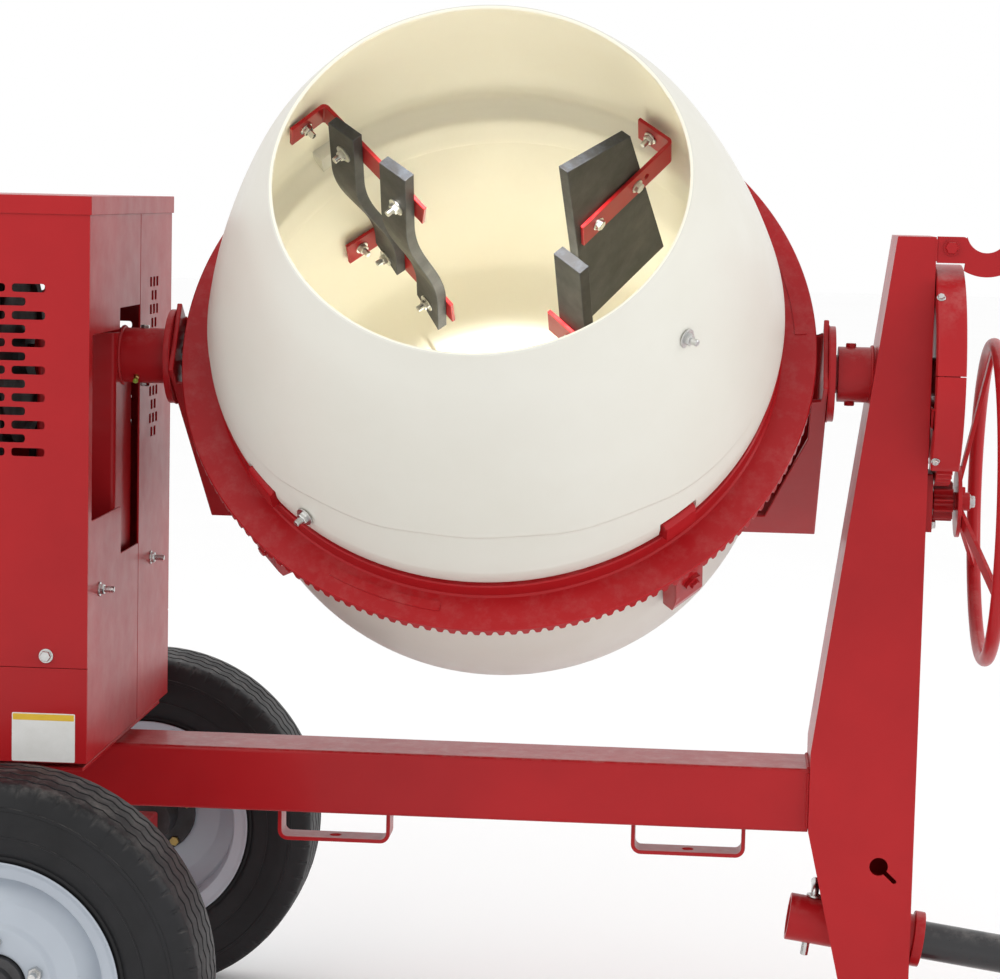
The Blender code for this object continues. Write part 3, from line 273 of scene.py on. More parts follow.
# ------------------------------------------------------------------ meshes
def from_bmesh(bm):
    mesh = bpy.data.meshes.new("shape")
    bm.to_mesh(mesh)
    bm.free()
    return mesh


def block(length, depth, height, at=None):
    bm = bmesh.new()
    bmesh.ops.create_cube(bm, size=1.0)
    bmesh.ops.scale(bm, vec=(length, depth, height), verts=bm.verts)
    return moved(from_bmesh(bm), at)


def rod(radius, length, sides=48, at=None):
    bm = bmesh.new()
    bmesh.ops.create_cone(
        bm, cap_ends=True, segments=sides, radius1=radius, radius2=radius, depth=length,
    )
    return moved(from_bmesh(bm), at)


def ball(radius, at=None):
    bm = bmesh.new()
    bmesh.ops.create_uvsphere(bm, u_segments=32, v_segments=20, radius=radius)
    return moved(from_bmesh(bm), at)


def moved(mesh, at):
    if at:
        mesh.transform(at)
    return mesh


def curve_mesh(curve):
    obj = bpy.data.objects.new("curve", curve)
    bpy.context.scene.collection.objects.link(obj)
    graph = bpy.context.evaluated_depsgraph_get()
    mesh = bpy.data.meshes.new_from_object(obj.evaluated_get(graph))
    bpy.data.objects.remove(obj, do_unlink=True)
    bpy.data.curves.remove(curve)
    bm = bmesh.new()
    bm.from_mesh(mesh)
    bpy.data.meshes.remove(mesh)
    bmesh.ops.remove_doubles(bm, verts=bm.verts, dist=0.00001)
    bmesh.ops.recalc_face_normals(bm, faces=bm.faces)
    return bm


def plate(thickness, rim, *holes, at=None):
    """A flat outline, with holes, centred on the local XY plane."""
    curve = bpy.data.curves.new("outline", "CURVE")
    curve.dimensions = "2D"
    curve.fill_mode = "BOTH"
    curve.extrude = thickness / 2
    for loop in (rim, *holes):
        spline = curve.splines.new("POLY")
        spline.points.add(len(loop) - 1)
        for point, (x, y) in zip(spline.points, loop):
            point.co = (x, y, 0, 1)
        spline.use_cyclic_u = True
    bm = curve_mesh(curve)
    bmesh.ops.dissolve_limit(bm, angle_limit=radians(0.2), verts=bm.verts, edges=bm.edges)
    return moved(from_bmesh(bm), at)


def bent_rod(points, radius, resolution=6, at=None):
    """A round bar along a line of points."""
    curve = bpy.data.curves.new("bar", "CURVE")
    curve.dimensions = "3D"
    curve.bevel_depth = radius
    curve.bevel_resolution = resolution
    curve.use_fill_caps = True
    spline = curve.splines.new("POLY")
    spline.points.add(len(points) - 1)
    for point, where in zip(spline.points, points):
        point.co = (*where, 1)
    return moved(from_bmesh(curve_mesh(curve)), at)


def lathe(points, steps=96, closed=True, at=None):
    """A line of radius and height turned about local Z."""
    bm = bmesh.new()
    rings = []
    for step in range(steps):
        c, s = cos(tau * step / steps), sin(tau * step / steps)
        rings.append([bm.verts.new((r * c, r * s, z)) for r, z in points])
    count = len(points) if closed else len(points) - 1
    for first, second in zip(rings, rings[1:] + rings[:1]):
        for i in range(count):
            j = (i + 1) % len(points)
            bm.faces.new((first[i], first[j], second[j], second[i]))
    bmesh.ops.remove_doubles(bm, verts=bm.verts, dist=0.000002)
    bmesh.ops.recalc_face_normals(bm, faces=bm.faces)
    return moved(from_bmesh(bm), at)


def skin(rings, at=None, loop=True, caps=False, inner_rows=None):
    """Quads between rows of points; rows join up in a loop, or end in caps."""
    bm = bmesh.new()
    rows = [[bm.verts.new(point) for point in ring] for ring in rings]
    pairs = list(zip(rows, rows[1:] + (rows[:1] if loop else [])))
    count = len(rows[0])
    for first, second in pairs:
        for i in range(count):
            j = (i + 1) % count
            face = bm.faces.new((first[i], first[j], second[j], second[i]))
            if inner_rows and inner_rows[0] <= i < inner_rows[1]:
                face.material_index = 1
    if caps:
        bm.faces.new(rows[0])
        bm.faces.new(rows[-1][::-1])
    bmesh.ops.recalc_face_normals(bm, faces=bm.faces)
    return moved(from_bmesh(bm), at)


def temporary(mesh):
    obj = bpy.data.objects.new("temporary", mesh)
    bpy.context.scene.collection.objects.link(obj)
    return obj


def carved(mesh, joins=(), cuts=()):
    """The mesh with other meshes joined to it and then cut out of it."""
    base = temporary(mesh)
    others = []
    for operation, meshes in (("UNION", joins), ("DIFFERENCE", cuts)):
        for other in meshes:
            others.append(temporary(other))
            modifier = base.modifiers.new(operation, "BOOLEAN")
            modifier.operation = operation
            modifier.object = others[-1]
    graph = bpy.context.evaluated_depsgraph_get()
    made = bpy.data.meshes.new_from_object(base.evaluated_get(graph))
    for obj in [base, *others]:
        old = obj.data
        bpy.data.objects.remove(obj, do_unlink=True)
        bpy.data.meshes.remove(old)
    bm = bmesh.new()
    bm.from_mesh(made)
    bpy.data.meshes.remove(made)
    bmesh.ops.remove_doubles(bm, verts=bm.verts, dist=0.000005)
    bmesh.ops.dissolve_limit(bm, angle_limit=radians(0.2), verts=bm.verts, edges=bm.edges)
    return from_bmesh(bm)


def joined(*meshes):
    """Several meshes as one, without merging their surfaces."""
    bm = bmesh.new()
    for mesh in meshes:
        bm.from_mesh(mesh)
        bpy.data.meshes.remove(mesh)
    return from_bmesh(bm)


def piece(name, mesh, finish_name, body, *nodes, at=ROOT, edge=0.0, steps=2, sharp=35.0):
    """A shown piece: placed, its edges softened, its finish on, and the CAD nodes it stands for."""
    mesh.name = name
    mesh.transform(at)
    if mesh.materials:
        mesh.materials.clear()
    for material in FINISHES[finish_name]:
        mesh.materials.append(material)
    mesh.shade_smooth()
    mesh.set_sharp_from_angle(angle=radians(sharp))
    obj = bpy.data.objects.new(name, mesh)
    bpy.context.scene.collection.objects.link(obj)
    if edge:
        bevel = obj.modifiers.new("soft_edges", "BEVEL")
        bevel.width = edge
        bevel.segments = steps
        bevel.limit_method = "ANGLE"
        bevel.angle_limit = radians(sharp)
        bevel.material = len(FINISHES[finish_name]) - 1
    weighted = obj.modifiers.new("flat_faces", "WEIGHTED_NORMAL")
    weighted.keep_sharp = True
    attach(obj, body)
    if nodes:
        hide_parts(*nodes)
    return obj


# ------------------------------------------------------------------ outlines
def circle(radius, sides=48, x=0.0, y=0.0):
    return [(x + radius * cos(tau * i / sides), y + radius * sin(tau * i / sides))
            for i in range(sides)]


def arc(x, y, radius, start, end, steps):
    angles = [radians(start + (end - start) * i / steps) for i in range(steps + 1)]
    return [(x + radius * cos(a), y + radius * sin(a)) for a in angles]


def rectangle(left, bottom, right, top):
    return [(left, bottom), (right, bottom), (right, top), (left, top)]


def rounded(points, radius, steps=4, closed=True):
    """The outline with its corners rounded off."""
    result = []
    for i, corner in enumerate(points):
        if not closed and i in (0, len(points) - 1):
            result.append(tuple(corner))
            continue
        here = Vector(corner)
        before = Vector(points[i - 1]) - here
        after = Vector(points[(i + 1) % len(points)]) - here
        first = here + before.normalized() * min(radius, 0.45 * before.length)
        last = here + after.normalized() * min(radius, 0.45 * after.length)
        for k in range(steps + 1):
            t = k / steps
            result.append(tuple((1 - t) ** 2 * first + 2 * t * (1 - t) * here + t * t * last))
    return result


def smoothed(points, steps=6):
    """A curve through the points."""
    result = []
    for i in range(len(points) - 1):
        p1, p2 = Vector(points[i]), Vector(points[i + 1])
        p0 = Vector(points[i - 1]) if i else 2 * p1 - p2
        p3 = Vector(points[i + 2]) if i + 2 < len(points) else 2 * p2 - p1
        for k in range(steps):
            t = k / steps
            result.append(tuple(0.5 * (2 * p1 + (p2 - p0) * t + (2 * p0 - 5 * p1 + 4 * p2 - p3) * t * t
                                       + (3 * p1 - p0 - 3 * p2 + p3) * t ** 3)))
    return result + [tuple(points[-1])]


def between(value, line):
    """The second number of a line of pairs, read at a value of the first."""
    if value <= line[0][0]:
        return line[0][1]
    for (low, first), (high, second) in zip(line, line[1:]):
        if value <= high:
            return first + (second - first) * (value - low) / (high - low)
    return line[-1][1]


def ease(value, start, end):
    t = min(1.0, max(0.0, (value - start) / (end - start)))
    return t * t * (3 - 2 * t)


def gear_outline(teeth, pitch, addendum, dedendum, width, phase):
    points = []
    shape = ((-0.78, -dedendum), (-0.56, -0.55 * dedendum), (-0.40, 0.25 * addendum), (-0.22, addendum),
             (0.22, addendum), (0.40, 0.25 * addendum), (0.56, -0.55 * dedendum), (0.78, -dedendum))
    for tooth in range(teeth):
        middle = phase + tau * tooth / teeth
        for side, height in shape:
            radius = pitch + height
            angle = middle + side * width / radius
            points.append((radius * cos(angle), radius * sin(angle)))
    return points


def belt_loop(big, small, distance, steps=48):
    lean = degrees(acos((big - small) / distance))
    return (arc(0, 0, big, lean - 90, 270 - lean, steps)
            + arc(0, -distance, small, 270 - lean, 270 + lean, steps // 2))


# ------------------------------------------------------------------ bolts and welds
GATHERED = {}


def gather(body, finish_name, mesh, at):
    """Adds a small part to the piece that holds all such parts of a body."""
    mesh.transform(at)
    GATHERED.setdefault((body, finish_name), []).append(mesh)


def hex_outline(across, height, chamfer=0.12):
    r = across / 2 / cos(pi / 6)
    return [(0, 0), (r, 0), (r, height * (1 - 2 * chamfer)), (r * 0.90, height), (0, height)]


def bolt(body, at, size=0.008, finish_name="zinc", washer=1.0, stud=0.0):
    """A hex head of a bolt of that shank size on its washer, standing on the local XY plane."""
    rise = 0.0
    if washer:
        rise = 0.22 * size
        line = rounded([(0, 0), (1.15 * size * washer, 0), (1.15 * size * washer, rise), (0, rise)],
                       0.0003, 1, False)
        gather(body, finish_name, lathe(line, 32, False), at)
    head = hex_outline(1.6 * size, 0.68 * size)
    spin = about(17.0 + 1000.0 * (at[0][3] + at[1][3] + at[2][3]))
    gather(body, finish_name, lathe(head, 6, False), at @ spot(z=rise) @ spin)
    if stud:
        tip = [(0, 0), (size / 2, 0), (size / 2, stud - 0.1 * size), (0.38 * size, stud), (0, stud)]
        gather(body, finish_name, lathe(tip, 20, False), at @ spot(z=rise + 0.6 * size))


def grease_fitting(body, at, cap="cap_green"):
    line = [(0, 0), (0.0045, 0), (0.0045, 0.004), (0.0028, 0.005), (0.0028, 0.008)]
    gather(body, "yellow_zinc", lathe(line + [(0, 0.008)], 12, False), at)
    gather(body, cap, ball(0.0042), at @ spot(z=0.0105))


def weld(body, start, end, radius=0.003, at=ROOT):
    """A bead of overlapping ripples from start to end."""
    start, end = Vector(start), Vector(end)
    along = end - start
    frame_of_bead = towards(start, along)
    ripples = max(3, int(along.length / 0.0032))
    rings = []
    for k in range(ripples * 3 + 1):
        wave = 0.84 + 0.16 * abs(sin(pi * k / 3.0)) + 0.05 * sin(2.1 * k) * cos(0.7 * k)
        size = radius * wave * (0.55 if k in (0, ripples * 3) else 1.0)
        z = along.length * k / (ripples * 3)
        rings.append([(size * cos(tau * i / 8), size * sin(tau * i / 8), z) for i in range(8)])
    gather(body, "red_enamel", skin(rings, loop=False, caps=True), at @ frame_of_bead)


def ring_weld(body, at, radius, thick=0.003, start=0.0, turn=360.0):
    """A bead round a tube, on the local XY plane."""
    count = max(8, int(radius * radians(turn) / 0.0011))
    rings = []
    for k in range(count + 1):
        a = radians(start + turn * k / count)
        size = thick * (0.84 + 0.16 * abs(sin(pi * k / 3.0)) + 0.05 * sin(2.1 * k))
        out = Vector((cos(a), sin(a), 0))
        rings.append([out * (radius + size * cos(tau * i / 8)) + Vector((0, 0, size * sin(tau * i / 8)))
                      for i in range(8)])
    whole = turn >= 359.9
    gather(body, "red_enamel", skin(rings[:-1] if whole else rings, loop=whole, caps=not whole), at)


def show_gathered():
    for (body, finish_name), meshes in sorted(GATHERED.items()):
        kind = {"zinc": "bolts", "red_enamel": "welds"}.get(finish_name, finish_name)
        piece(f"{body}_{kind}", joined(*meshes), finish_name, body, at=Matrix.Identity(4), sharp=40.0)


def tube(radius, bore, length, at=None, steps=64, soft=0.0008):
    line = rounded([(bore, -length / 2), (radius, -length / 2), (radius, length / 2),
                    (bore, length / 2)], soft, 2)
    return lathe(line, steps, at=at)


# ------------------------------------------------------------------ chassis
def show_chassis():
    middle, half_y, half_z = (BEAM_BOTTOM + BEAM_TOP) / 2, BEAM_WIDTH / 2, (BEAM_TOP - BEAM_BOTTOM) / 2
    wall = STEEL
    beam = plate(
        BEAM_FRONT - BEAM_REAR,
        rounded(rectangle(-half_y, -half_z, half_y, half_z), 0.007),
        rounded(rectangle(-half_y + wall, -half_z + wall, half_y - wall, half_z - wall), 0.004),
        at=spot((BEAM_FRONT + BEAM_REAR) / 2, 0, middle, FACE_X),
    )
    piece("beam", beam, "red_enamel", "frame", "main_beam", edge=0.0006, steps=1)
    for name, left in (("fork_pocket_rear", -0.341), ("fork_pocket_front", 0.229)):
        show_fork_pocket(name, left)
    for side in (-1, 1):
        weld("frame", (BEAM_FRONT - 0.001, side * half_y, BEAM_BOTTOM + 0.006),
             (BEAM_FRONT - 0.001, side * half_y, BEAM_TOP - 0.006), 0.0035)
    weld("frame", (BEAM_FRONT - 0.001, -half_y + 0.006, BEAM_TOP),
         (BEAM_FRONT - 0.001, half_y - 0.006, BEAM_TOP),
         0.0035)
    show_axle()
    deck = block(0.615, 0.58, STEEL, spot(-0.9075, 0, BEAM_TOP + 0.0003 + STEEL / 2))
    piece("deck_plate", deck, "red_enamel", "frame", "engine_deck", edge=0.0012)
    show_post()


def show_fork_pocket(name, left):
    right, bottom, top, bend = left + 0.182, 0.403, BEAM_BOTTOM - 0.0003, 0.016
    bend_in = bend - STEEL
    outer = ([(left, top)] + arc(left + bend, bottom + bend, bend, 180, 270, 10)
             + arc(right - bend, bottom + bend, bend, 270, 360, 10) + [(right, top)])
    inner = ([(right - STEEL, top)] + arc(right - bend, bottom + bend, bend_in, 0, -90, 10)
             + arc(left + bend, bottom + bend, bend_in, -90, -180, 10) + [(left + STEEL, top)])
    hole = rod(0.009, 0.03, 32, spot((left + right) / 2, 0, bottom))
    strap = carved(plate(0.05, outer + inner, at=FACE_Y.copy()), cuts=[hole])
    piece(name + "_strap", strap, "red_enamel", "frame", name, edge=0.0008)
    for x in (left - 0.0008, right + 0.0008):
        weld("frame", (x, -0.024, top - 0.001), (x, 0.024, top - 0.001), 0.0028)


def show_axle():
    side, z = 0.0635, TYRE_RADIUS
    axle = plate(0.86, rounded(rectangle(-side / 2, -side / 2, side / 2, side / 2), 0.006),
                 at=spot(WHEEL_X, 0, z, FACE_Y))
    top = BEAM_BOTTOM - 0.0003
    saddle = block(0.12, 0.11, top - z, spot(WHEEL_X, 0, (top + z) / 2))
    spindle = rod(0.016, 1.164, 40, spot(WHEEL_X, 0, z, FACE_Y))
    piece("axle", carved(axle, [saddle, spindle]), "red_enamel", "frame", "axle_beam", edge=0.0012)
    for x in (-0.06, 0.06):
        weld("frame", (WHEEL_X + x, -0.05, top - 0.001), (WHEEL_X + x, 0.05, top - 0.001))
    for y in (-0.43, 0.43):
        ring_weld("frame", ROOT @ spot(WHEEL_X, y, z, FACE_Y), 0.0175, 0.0028)


def show_post():
    half, bottom, top = BEAM_WIDTH / 2, BEAM_TOP + 0.0006 + STEEL, 1.216
    x = -0.604 - half
    post = plate(top - bottom, rounded(rectangle(-half, -half, half, half), 0.008),
                 rounded(rectangle(-half + STEEL, -half + STEEL, half - STEEL, half - STEEL), 0.004),
                 at=spot(x, 0, (top + bottom) / 2))
    hole = rod(0.0443, 0.2, 64, spot(x, 0, TILT_Z, FACE_X))
    piece("post", carved(post, cuts=[hole]), "red_enamel", "frame", "rear_post", edge=0.0008)
    bearing = tube(0.044, 0.0323, 0.208, spot(-0.636, 0, TILT_Z, FACE_X), 96)
    piece("rear_bearing", bearing, "red_enamel", "frame", "rear_bearing_tube")
    ring_weld("frame", ROOT @ spot(-0.6035, 0, TILT_Z, FACE_X), 0.0448, 0.0034)
    for side in (-1, 1):
        bolt("frame", ROOT @ towards((-0.570, 0, TILT_Z + side * 0.0435), (0, 0, side)), 0.008, washer=0)
    grease_fitting("frame", ROOT @ towards((-0.577, -0.031, TILT_Z - 0.031), (0, -1, -1)))


# ------------------------------------------------------------------ column
def keyhole(x, z):
    slot, reach, lean = 0.0035, 0.034, -43
    side = degrees(atan2(slot, 0.014))
    tip = arc(x + reach * cos(radians(lean)), z + reach * sin(radians(lean)), slot, lean - 90, lean + 90, 8)
    return arc(x, z, 0.0145, lean + side, lean + 360 - side, 40) + tip


def show_column():
    knee, thick = 0.508, 0.005
    outline = [(0.613, 0.006), (COLUMN_FACE, 0.006), (COLUMN_FACE, 1.397), (0.614, 1.397),
               (knee, 0.589), (knee, 0.462)]
    inside = [(0.6185, -0.02), (0.668, -0.02), (0.668, 1.392), (0.619, 1.392), (0.513, 0.5887),
              (0.513, 0.4635)]
    body = plate(2 * COLUMN_HALF, outline, at=FACE_Y.copy())
    hollow = plate(2 * (COLUMN_HALF - thick), inside, at=FACE_Y.copy())
    foot = block(0.15, 0.20, 0.010, spot(0.640, 0, 0.005))
    pole_line = ROOT.inverted() @ POLE
    holes = [
        rod(0.0438, 0.2, 72, spot(0.63, 0, TILT_Z, FACE_X)),
        rod(0.0165, 0.06, 40, spot(COLUMN_FACE, 0, HANDWHEEL_Z, FACE_X)),
        rod(SOCKET_RADIUS + 0.0004, 0.4, 64, pole_line @ FACE_X),
        block(*PIN_DOOR, spot(*PIN_DOOR_AT)),
        plate(0.03, keyhole(0.620, 0.411), at=spot(0, -COLUMN_HALF, 0, FACE_Y)),
    ]
    column = carved(carved(body, cuts=[hollow]), [foot], holes)
    piece("column", column, "red_enamel", "frame", "front_column", edge=0.0022, steps=3)
    bearing = tube(0.0435, 0.0303, 0.1413, spot(0.6027, 0, TILT_Z, FACE_X), 96)
    piece("front_bearing", bearing, "red_enamel", "frame", "front_bearing_tube")
    for side in (-1, 1):
        bolt("frame", ROOT @ towards((0.552, 0, TILT_Z + side * 0.043), (0, 0, side)), 0.009, "red_enamel",
             washer=0)
        weld("frame", (0.613, side * 0.0795, 0.0115), (COLUMN_FACE, side * 0.0795, 0.0115), 0.0034)
    for x in (0.613, COLUMN_FACE):
        weld("frame", (x, -0.076, 0.0115), (x, 0.076, 0.0115), 0.0034)
    ring_weld("frame", ROOT @ spot(0.585, 0, TILT_Z, FACE_X), 0.0440, 0.0030)
    show_pole_rest()


def show_pole_rest():
    x, z, notch, outer, top = 0.750, 1.405, 0.031, 0.068, 1.398
    dip = degrees(atan2(z - top, notch))
    corners = [(COLUMN_FACE + 0.0015, 1.3575), (0.7175, 1.3575)]
    outline = (corners + arc(x, z, outer, 240, 350, 28) + arc(0.8095, 1.3985, 0.0068, -30, 95, 6)
               + arc(x, z, notch, -dip, -180 + dip, 24)
               + rounded([(0.719, top - 0.002), (0.716, top), (0.700, top)], 0.003, 3, False)
               + [(COLUMN_FACE + 0.0015, top)])
    hook = plate(0.008, outline, at=spot(0, -0.074, 0, FACE_Y))
    piece("pole_rest", hook, "red_enamel", "frame", "pole_rest_hook", edge=0.0010)
    bolt("frame", ROOT @ towards((0.696, -0.0782, 1.381), (0, -1, 0)), 0.011, "red_enamel")
    weld("frame", (COLUMN_FACE, -0.0785, 1.360), (COLUMN_FACE, -0.0785, 1.394), 0.0026)


# ------------------------------------------------------------------ pole and hitch
def show_pole():
    rear, front, bore, collar = -0.118, 0.0975, POLE_RADIUS + 0.0004, 0.044
    line = rounded([(collar, front), (collar, front - 0.016), (SOCKET_RADIUS, front - 0.016),
                    (SOCKET_RADIUS, rear), (bore, rear), (bore, front)], 0.0014, 3)
    holes = [rod(0.0069, 0.12, 32, spot(PIN_X, 0, 0))]
    socket = carved(lathe(line, 96, at=FACE_X.copy()), cuts=holes)
    piece("socket", socket, "red_enamel", "frame", "pole_socket", at=POLE, edge=0.0004, steps=1)
    inner = POLE_RADIUS - 0.004
    pole = tube(POLE_RADIUS, inner, 0.825, spot(0.3075, 0, 0, FACE_X), 96, 0.0010)
    piece("pole", carved(pole, cuts=[rod(0.0069, 0.12, 32, spot(PIN_X, 0, 0))]), "black_paint", "frame",
          "tow_pole", at=POLE)
    head, bend = 0.0415, 0.012
    line = [(PIN_X, 0, -0.058)]
    line += [(PIN_X, y, z) for y, z in arc(bend, head, bend, 180, 90, 12)] + [(PIN_X, 0.045, head + bend)]
    piece("hitch_pin", bent_rod(line, 0.0063, 5), "zinc", "pin", "pole_pin", at=POLE, edge=0.0010)
    gather("pin", "zinc", lathe(rounded([(0.0066, -0.002), (0.0125, -0.002), (0.0125, 0.0012),
                                         (0.0066, 0.0012)],
                                        0.0005, 2), 32), POLE @ spot(PIN_X, 0, 0.0405))
    show_coupler()


def show_coupler():
    half = 0.033
    body = [(0.735, -0.036), (0.838, -0.036), (0.838, 0.004), (0.818, 0.027), (0.792, 0.036),
            (0.735, 0.036)]
    ear = [(0.766, 0.030), (0.792, 0.030), (0.792, 0.049), (0.786, 0.055), (0.772, 0.055), (0.766, 0.049)]
    ears = [plate(0.006, rounded(ear, 0.004), circle(0.0046, 20, 0.779, 0.0445),
                  at=spot(0, side * 0.0195, 0, FACE_Y)) for side in (-1, 1)]
    sleeve = tube(0.0365, POLE_RADIUS + 0.0004, 0.085, spot(0.7025, 0, 0, FACE_X), 72)
    shell = plate(2 * half, rounded(body, 0.010, 6), at=FACE_Y.copy())
    coupler = carved(shell, [sleeve, *ears], [ball(0.0258, spot(0.800, 0, -0.031))])
    piece("coupler", coupler, "cast_iron", "frame", "ball_coupler", at=POLE, edge=0.003, steps=3)
    lever = [(0.006, -0.004), (0.006, 0.004), (-0.080, 0.004), (-0.115, 0.014), (-0.119, 0.009),
             (-0.083, -0.002), (-0.06, -0.004)]
    latch = carved(plate(0.032, rounded(lever, 0.003), at=FACE_Y.copy()), [rod(0.0042, 0.048, 24, FACE_Y)])
    piece("latch_lever", latch, "zinc", "latch", "coupler_latch", at=POLE @ spot(0.779, 0, 0.0445),
          edge=0.0010)
    for x in (0.680, 0.715):
        bolt("frame", POLE @ towards((x, -0.0362, 0), (0, -1, 0)), 0.008)


# ------------------------------------------------------------------ cowl
def louvre_slots(right_edge):
    length, height, pitch = 0.051, 0.0125, 0.0205
    slots = []
    for row in range(13):
        z = 1.293 - row * pitch
        right = right_edge - (row % 2) * 0.030
        for column in range(4):
            end = right - column * (length + 0.010)
            box = rectangle(end - length, z - height / 2, end, z + height / 2)
            slots.append(rounded(box, 0.0056, 4))
    return slots


def vent_holes(middle, top):
    size, pitch = 0.016, 0.0255
    holes = []
    for row in range(12):
        count = 3 - row % 2
        z = top - row * 0.0226
        for index in range(count):
            y = middle + (index - (count - 1) / 2) * pitch
            holes.append(rounded(rectangle(y - size / 2, z - size / 2, y + size / 2, z + size / 2),
                                 0.002, 2))
    return holes


def show_cowl():
    top, thin = COWL_TOP - SHEET - 0.0006, 0.0007
    side = rounded(rectangle(COWL_REAR, COWL_SEAM, COWL_FRONT, top), 0.002, 2)
    for name, y in (("near", -COWL_HALF + SHEET / 2), ("far", COWL_HALF - SHEET / 2)):
        panel = plate(SHEET, side, *louvre_slots(-0.657), at=spot(0, y, 0, FACE_Y))
        piece(f"cowl_panel_{name}", panel, "red_enamel", "frame", f"cowl_{name}_side", edge=thin)
        outward = -1 if name == "near" else 1
        for x in (-0.653, -1.165):
            bolt("frame", ROOT @ towards((x, outward * COWL_HALF, 0.739), (0, outward, 0)), 0.0095)
    wall, front_x = COWL_HALF - SHEET - 0.0003, COWL_FRONT - SHEET / 2
    split = COWL_SPLIT - 0.0015
    near = [(-wall, COWL_BOTTOM), (split, COWL_BOTTOM), (split, 0.868), (-0.078, 0.868), (-0.078, 0.943),
            (-wall + 0.020, 0.943), (-wall + 0.020, 1.224), (-0.096, 1.224), (-0.096, 1.257),
            (split, 1.257), (split, top), (-wall, top)]
    piece("cowl_front_near", plate(SHEET, rounded(near, 0.003, 3), at=spot(front_x, 0, 0, FACE_X)),
          "red_enamel", "frame", "cowl_end_near", edge=thin)
    far = rounded(rectangle(COWL_SPLIT + 0.0015, COWL_BOTTOM, wall, top), 0.003, 3)
    piece("cowl_front_far", plate(SHEET, far, *vent_holes(0.165, 1.291), at=spot(front_x, 0, 0, FACE_X)),
          "red_enamel", "frame", "cowl_end_far", edge=thin)
    for y in (-0.231, 0.153):
        bolt("frame", ROOT @ towards((COWL_FRONT, y, 0.832), (1, 0, 0)), 0.0095, stud=0.016)
    rear = rectangle(-wall, COWL_SEAM, wall, top)
    slots = [rounded(rectangle(-0.12, z - 0.008, 0.12, z + 0.008), 0.0075, 5)
             for z in (1.30, 1.26, 1.22, 1.18, 1.14)]
    piece("cowl_back", plate(SHEET, rear, *slots, at=spot(COWL_REAR + SHEET / 2, 0, 0, FACE_X)),
          "red_enamel", "frame", "cowl_rear", edge=thin)
    show_skirt()
    show_lid()


def show_skirt():
    half, front, rear = COWL_HALF, COWL_FRONT, COWL_REAR
    corners = [(front, -half), (rear, -half), (rear, half), (front, half)]
    inset = [(front, half - SHEET), (rear + SHEET, half - SHEET), (rear + SHEET, -half + SHEET),
             (front, -half + SHEET)]
    outline = rounded(corners, 0.005, 4, False) + rounded(inset, 0.003, 4, False)
    height = COWL_SEAM - 0.001 - COWL_BOTTOM
    piece("skirt", plate(height, outline, at=spot(0, 0, COWL_BOTTOM + height / 2)), "red_enamel", "frame",
          "cowl_skirt", edge=0.0006)
    label = rounded(rectangle(-0.705, 0.5765, -0.608, 0.651), 0.002, 3)
    band = rounded(rectangle(-0.7035, 0.640, -0.6095, 0.6495), 0.001, 2)
    y = -half - 0.0004
    gather("frame", "label_white", plate(0.0008, label), ROOT @ spot(0, y, 0, FACE_Y))
    gather("frame", "label_yellow", plate(0.0008, band), ROOT @ spot(0, y - 0.0002, 0, FACE_Y))


def show_lid():
    margin, depth, wall = 0.003, 0.028, 0.0025
    length, width = COWL_FRONT - COWL_REAR + 2 * margin, 2 * (COWL_HALF + margin)
    middle = spot((COWL_FRONT + COWL_REAR) / 2, 0, COWL_TOP - depth / 2)
    tray = carved(block(length, width, depth, middle),
                  cuts=[block(length - 2 * wall, width - 2 * wall, depth, middle @ spot(z=-wall))])
    piece("cowl_lid", tray, "red_enamel", "frame", "cowl_top", edge=0.0012, steps=2)


# ------------------------------------------------------------------ engine and belt
def show_engine():
    floor, height = BEAM_TOP + STEEL + 0.0006, 0.336
    case = block(0.23, 0.24, height, spot(-0.985, 0, floor + height / 2))
    cylinder = block(0.15, 0.14, 0.20, spot(-0.985, 0.16, floor + 0.20))
    starter = rod(0.10, 0.05, 64, spot(-1.115, 0, ENGINE_Z, FACE_X))
    fins = [block(0.16, 0.008, 0.21, spot(-0.985, 0.135 + 0.0135 * k, floor + 0.20)) for k in range(7)]
    bore = rod(0.0135, 0.08, 32, spot(-0.87, 0, ENGINE_Z, FACE_X))
    slots = [block(0.02, 0.110, 0.006, spot(-1.143, 0, ENGINE_Z + 0.014 * k)) for k in range(-4, 5)]
    engine = carved(carved(case, [cylinder, starter], [bore, *slots]), fins)
    piece("engine", engine, "engine_paint", "frame", "engine_block", edge=0.004, steps=3)
    tank = block(0.25, 0.22, 0.10, spot(-0.985, 0, floor + height + 0.0503))
    piece("tank", carved(tank, [rod(0.028, 0.04, 40, spot(-1.03, 0, floor + height + 0.11))]),
          "black_paint",
          "frame", "fuel_tank", edge=0.014, steps=5)
    for x in (-1.06, -0.91):
        for y in (-0.105, 0.105):
            bolt("frame", ROOT @ spot(x, y, floor + 0.0005), 0.008)


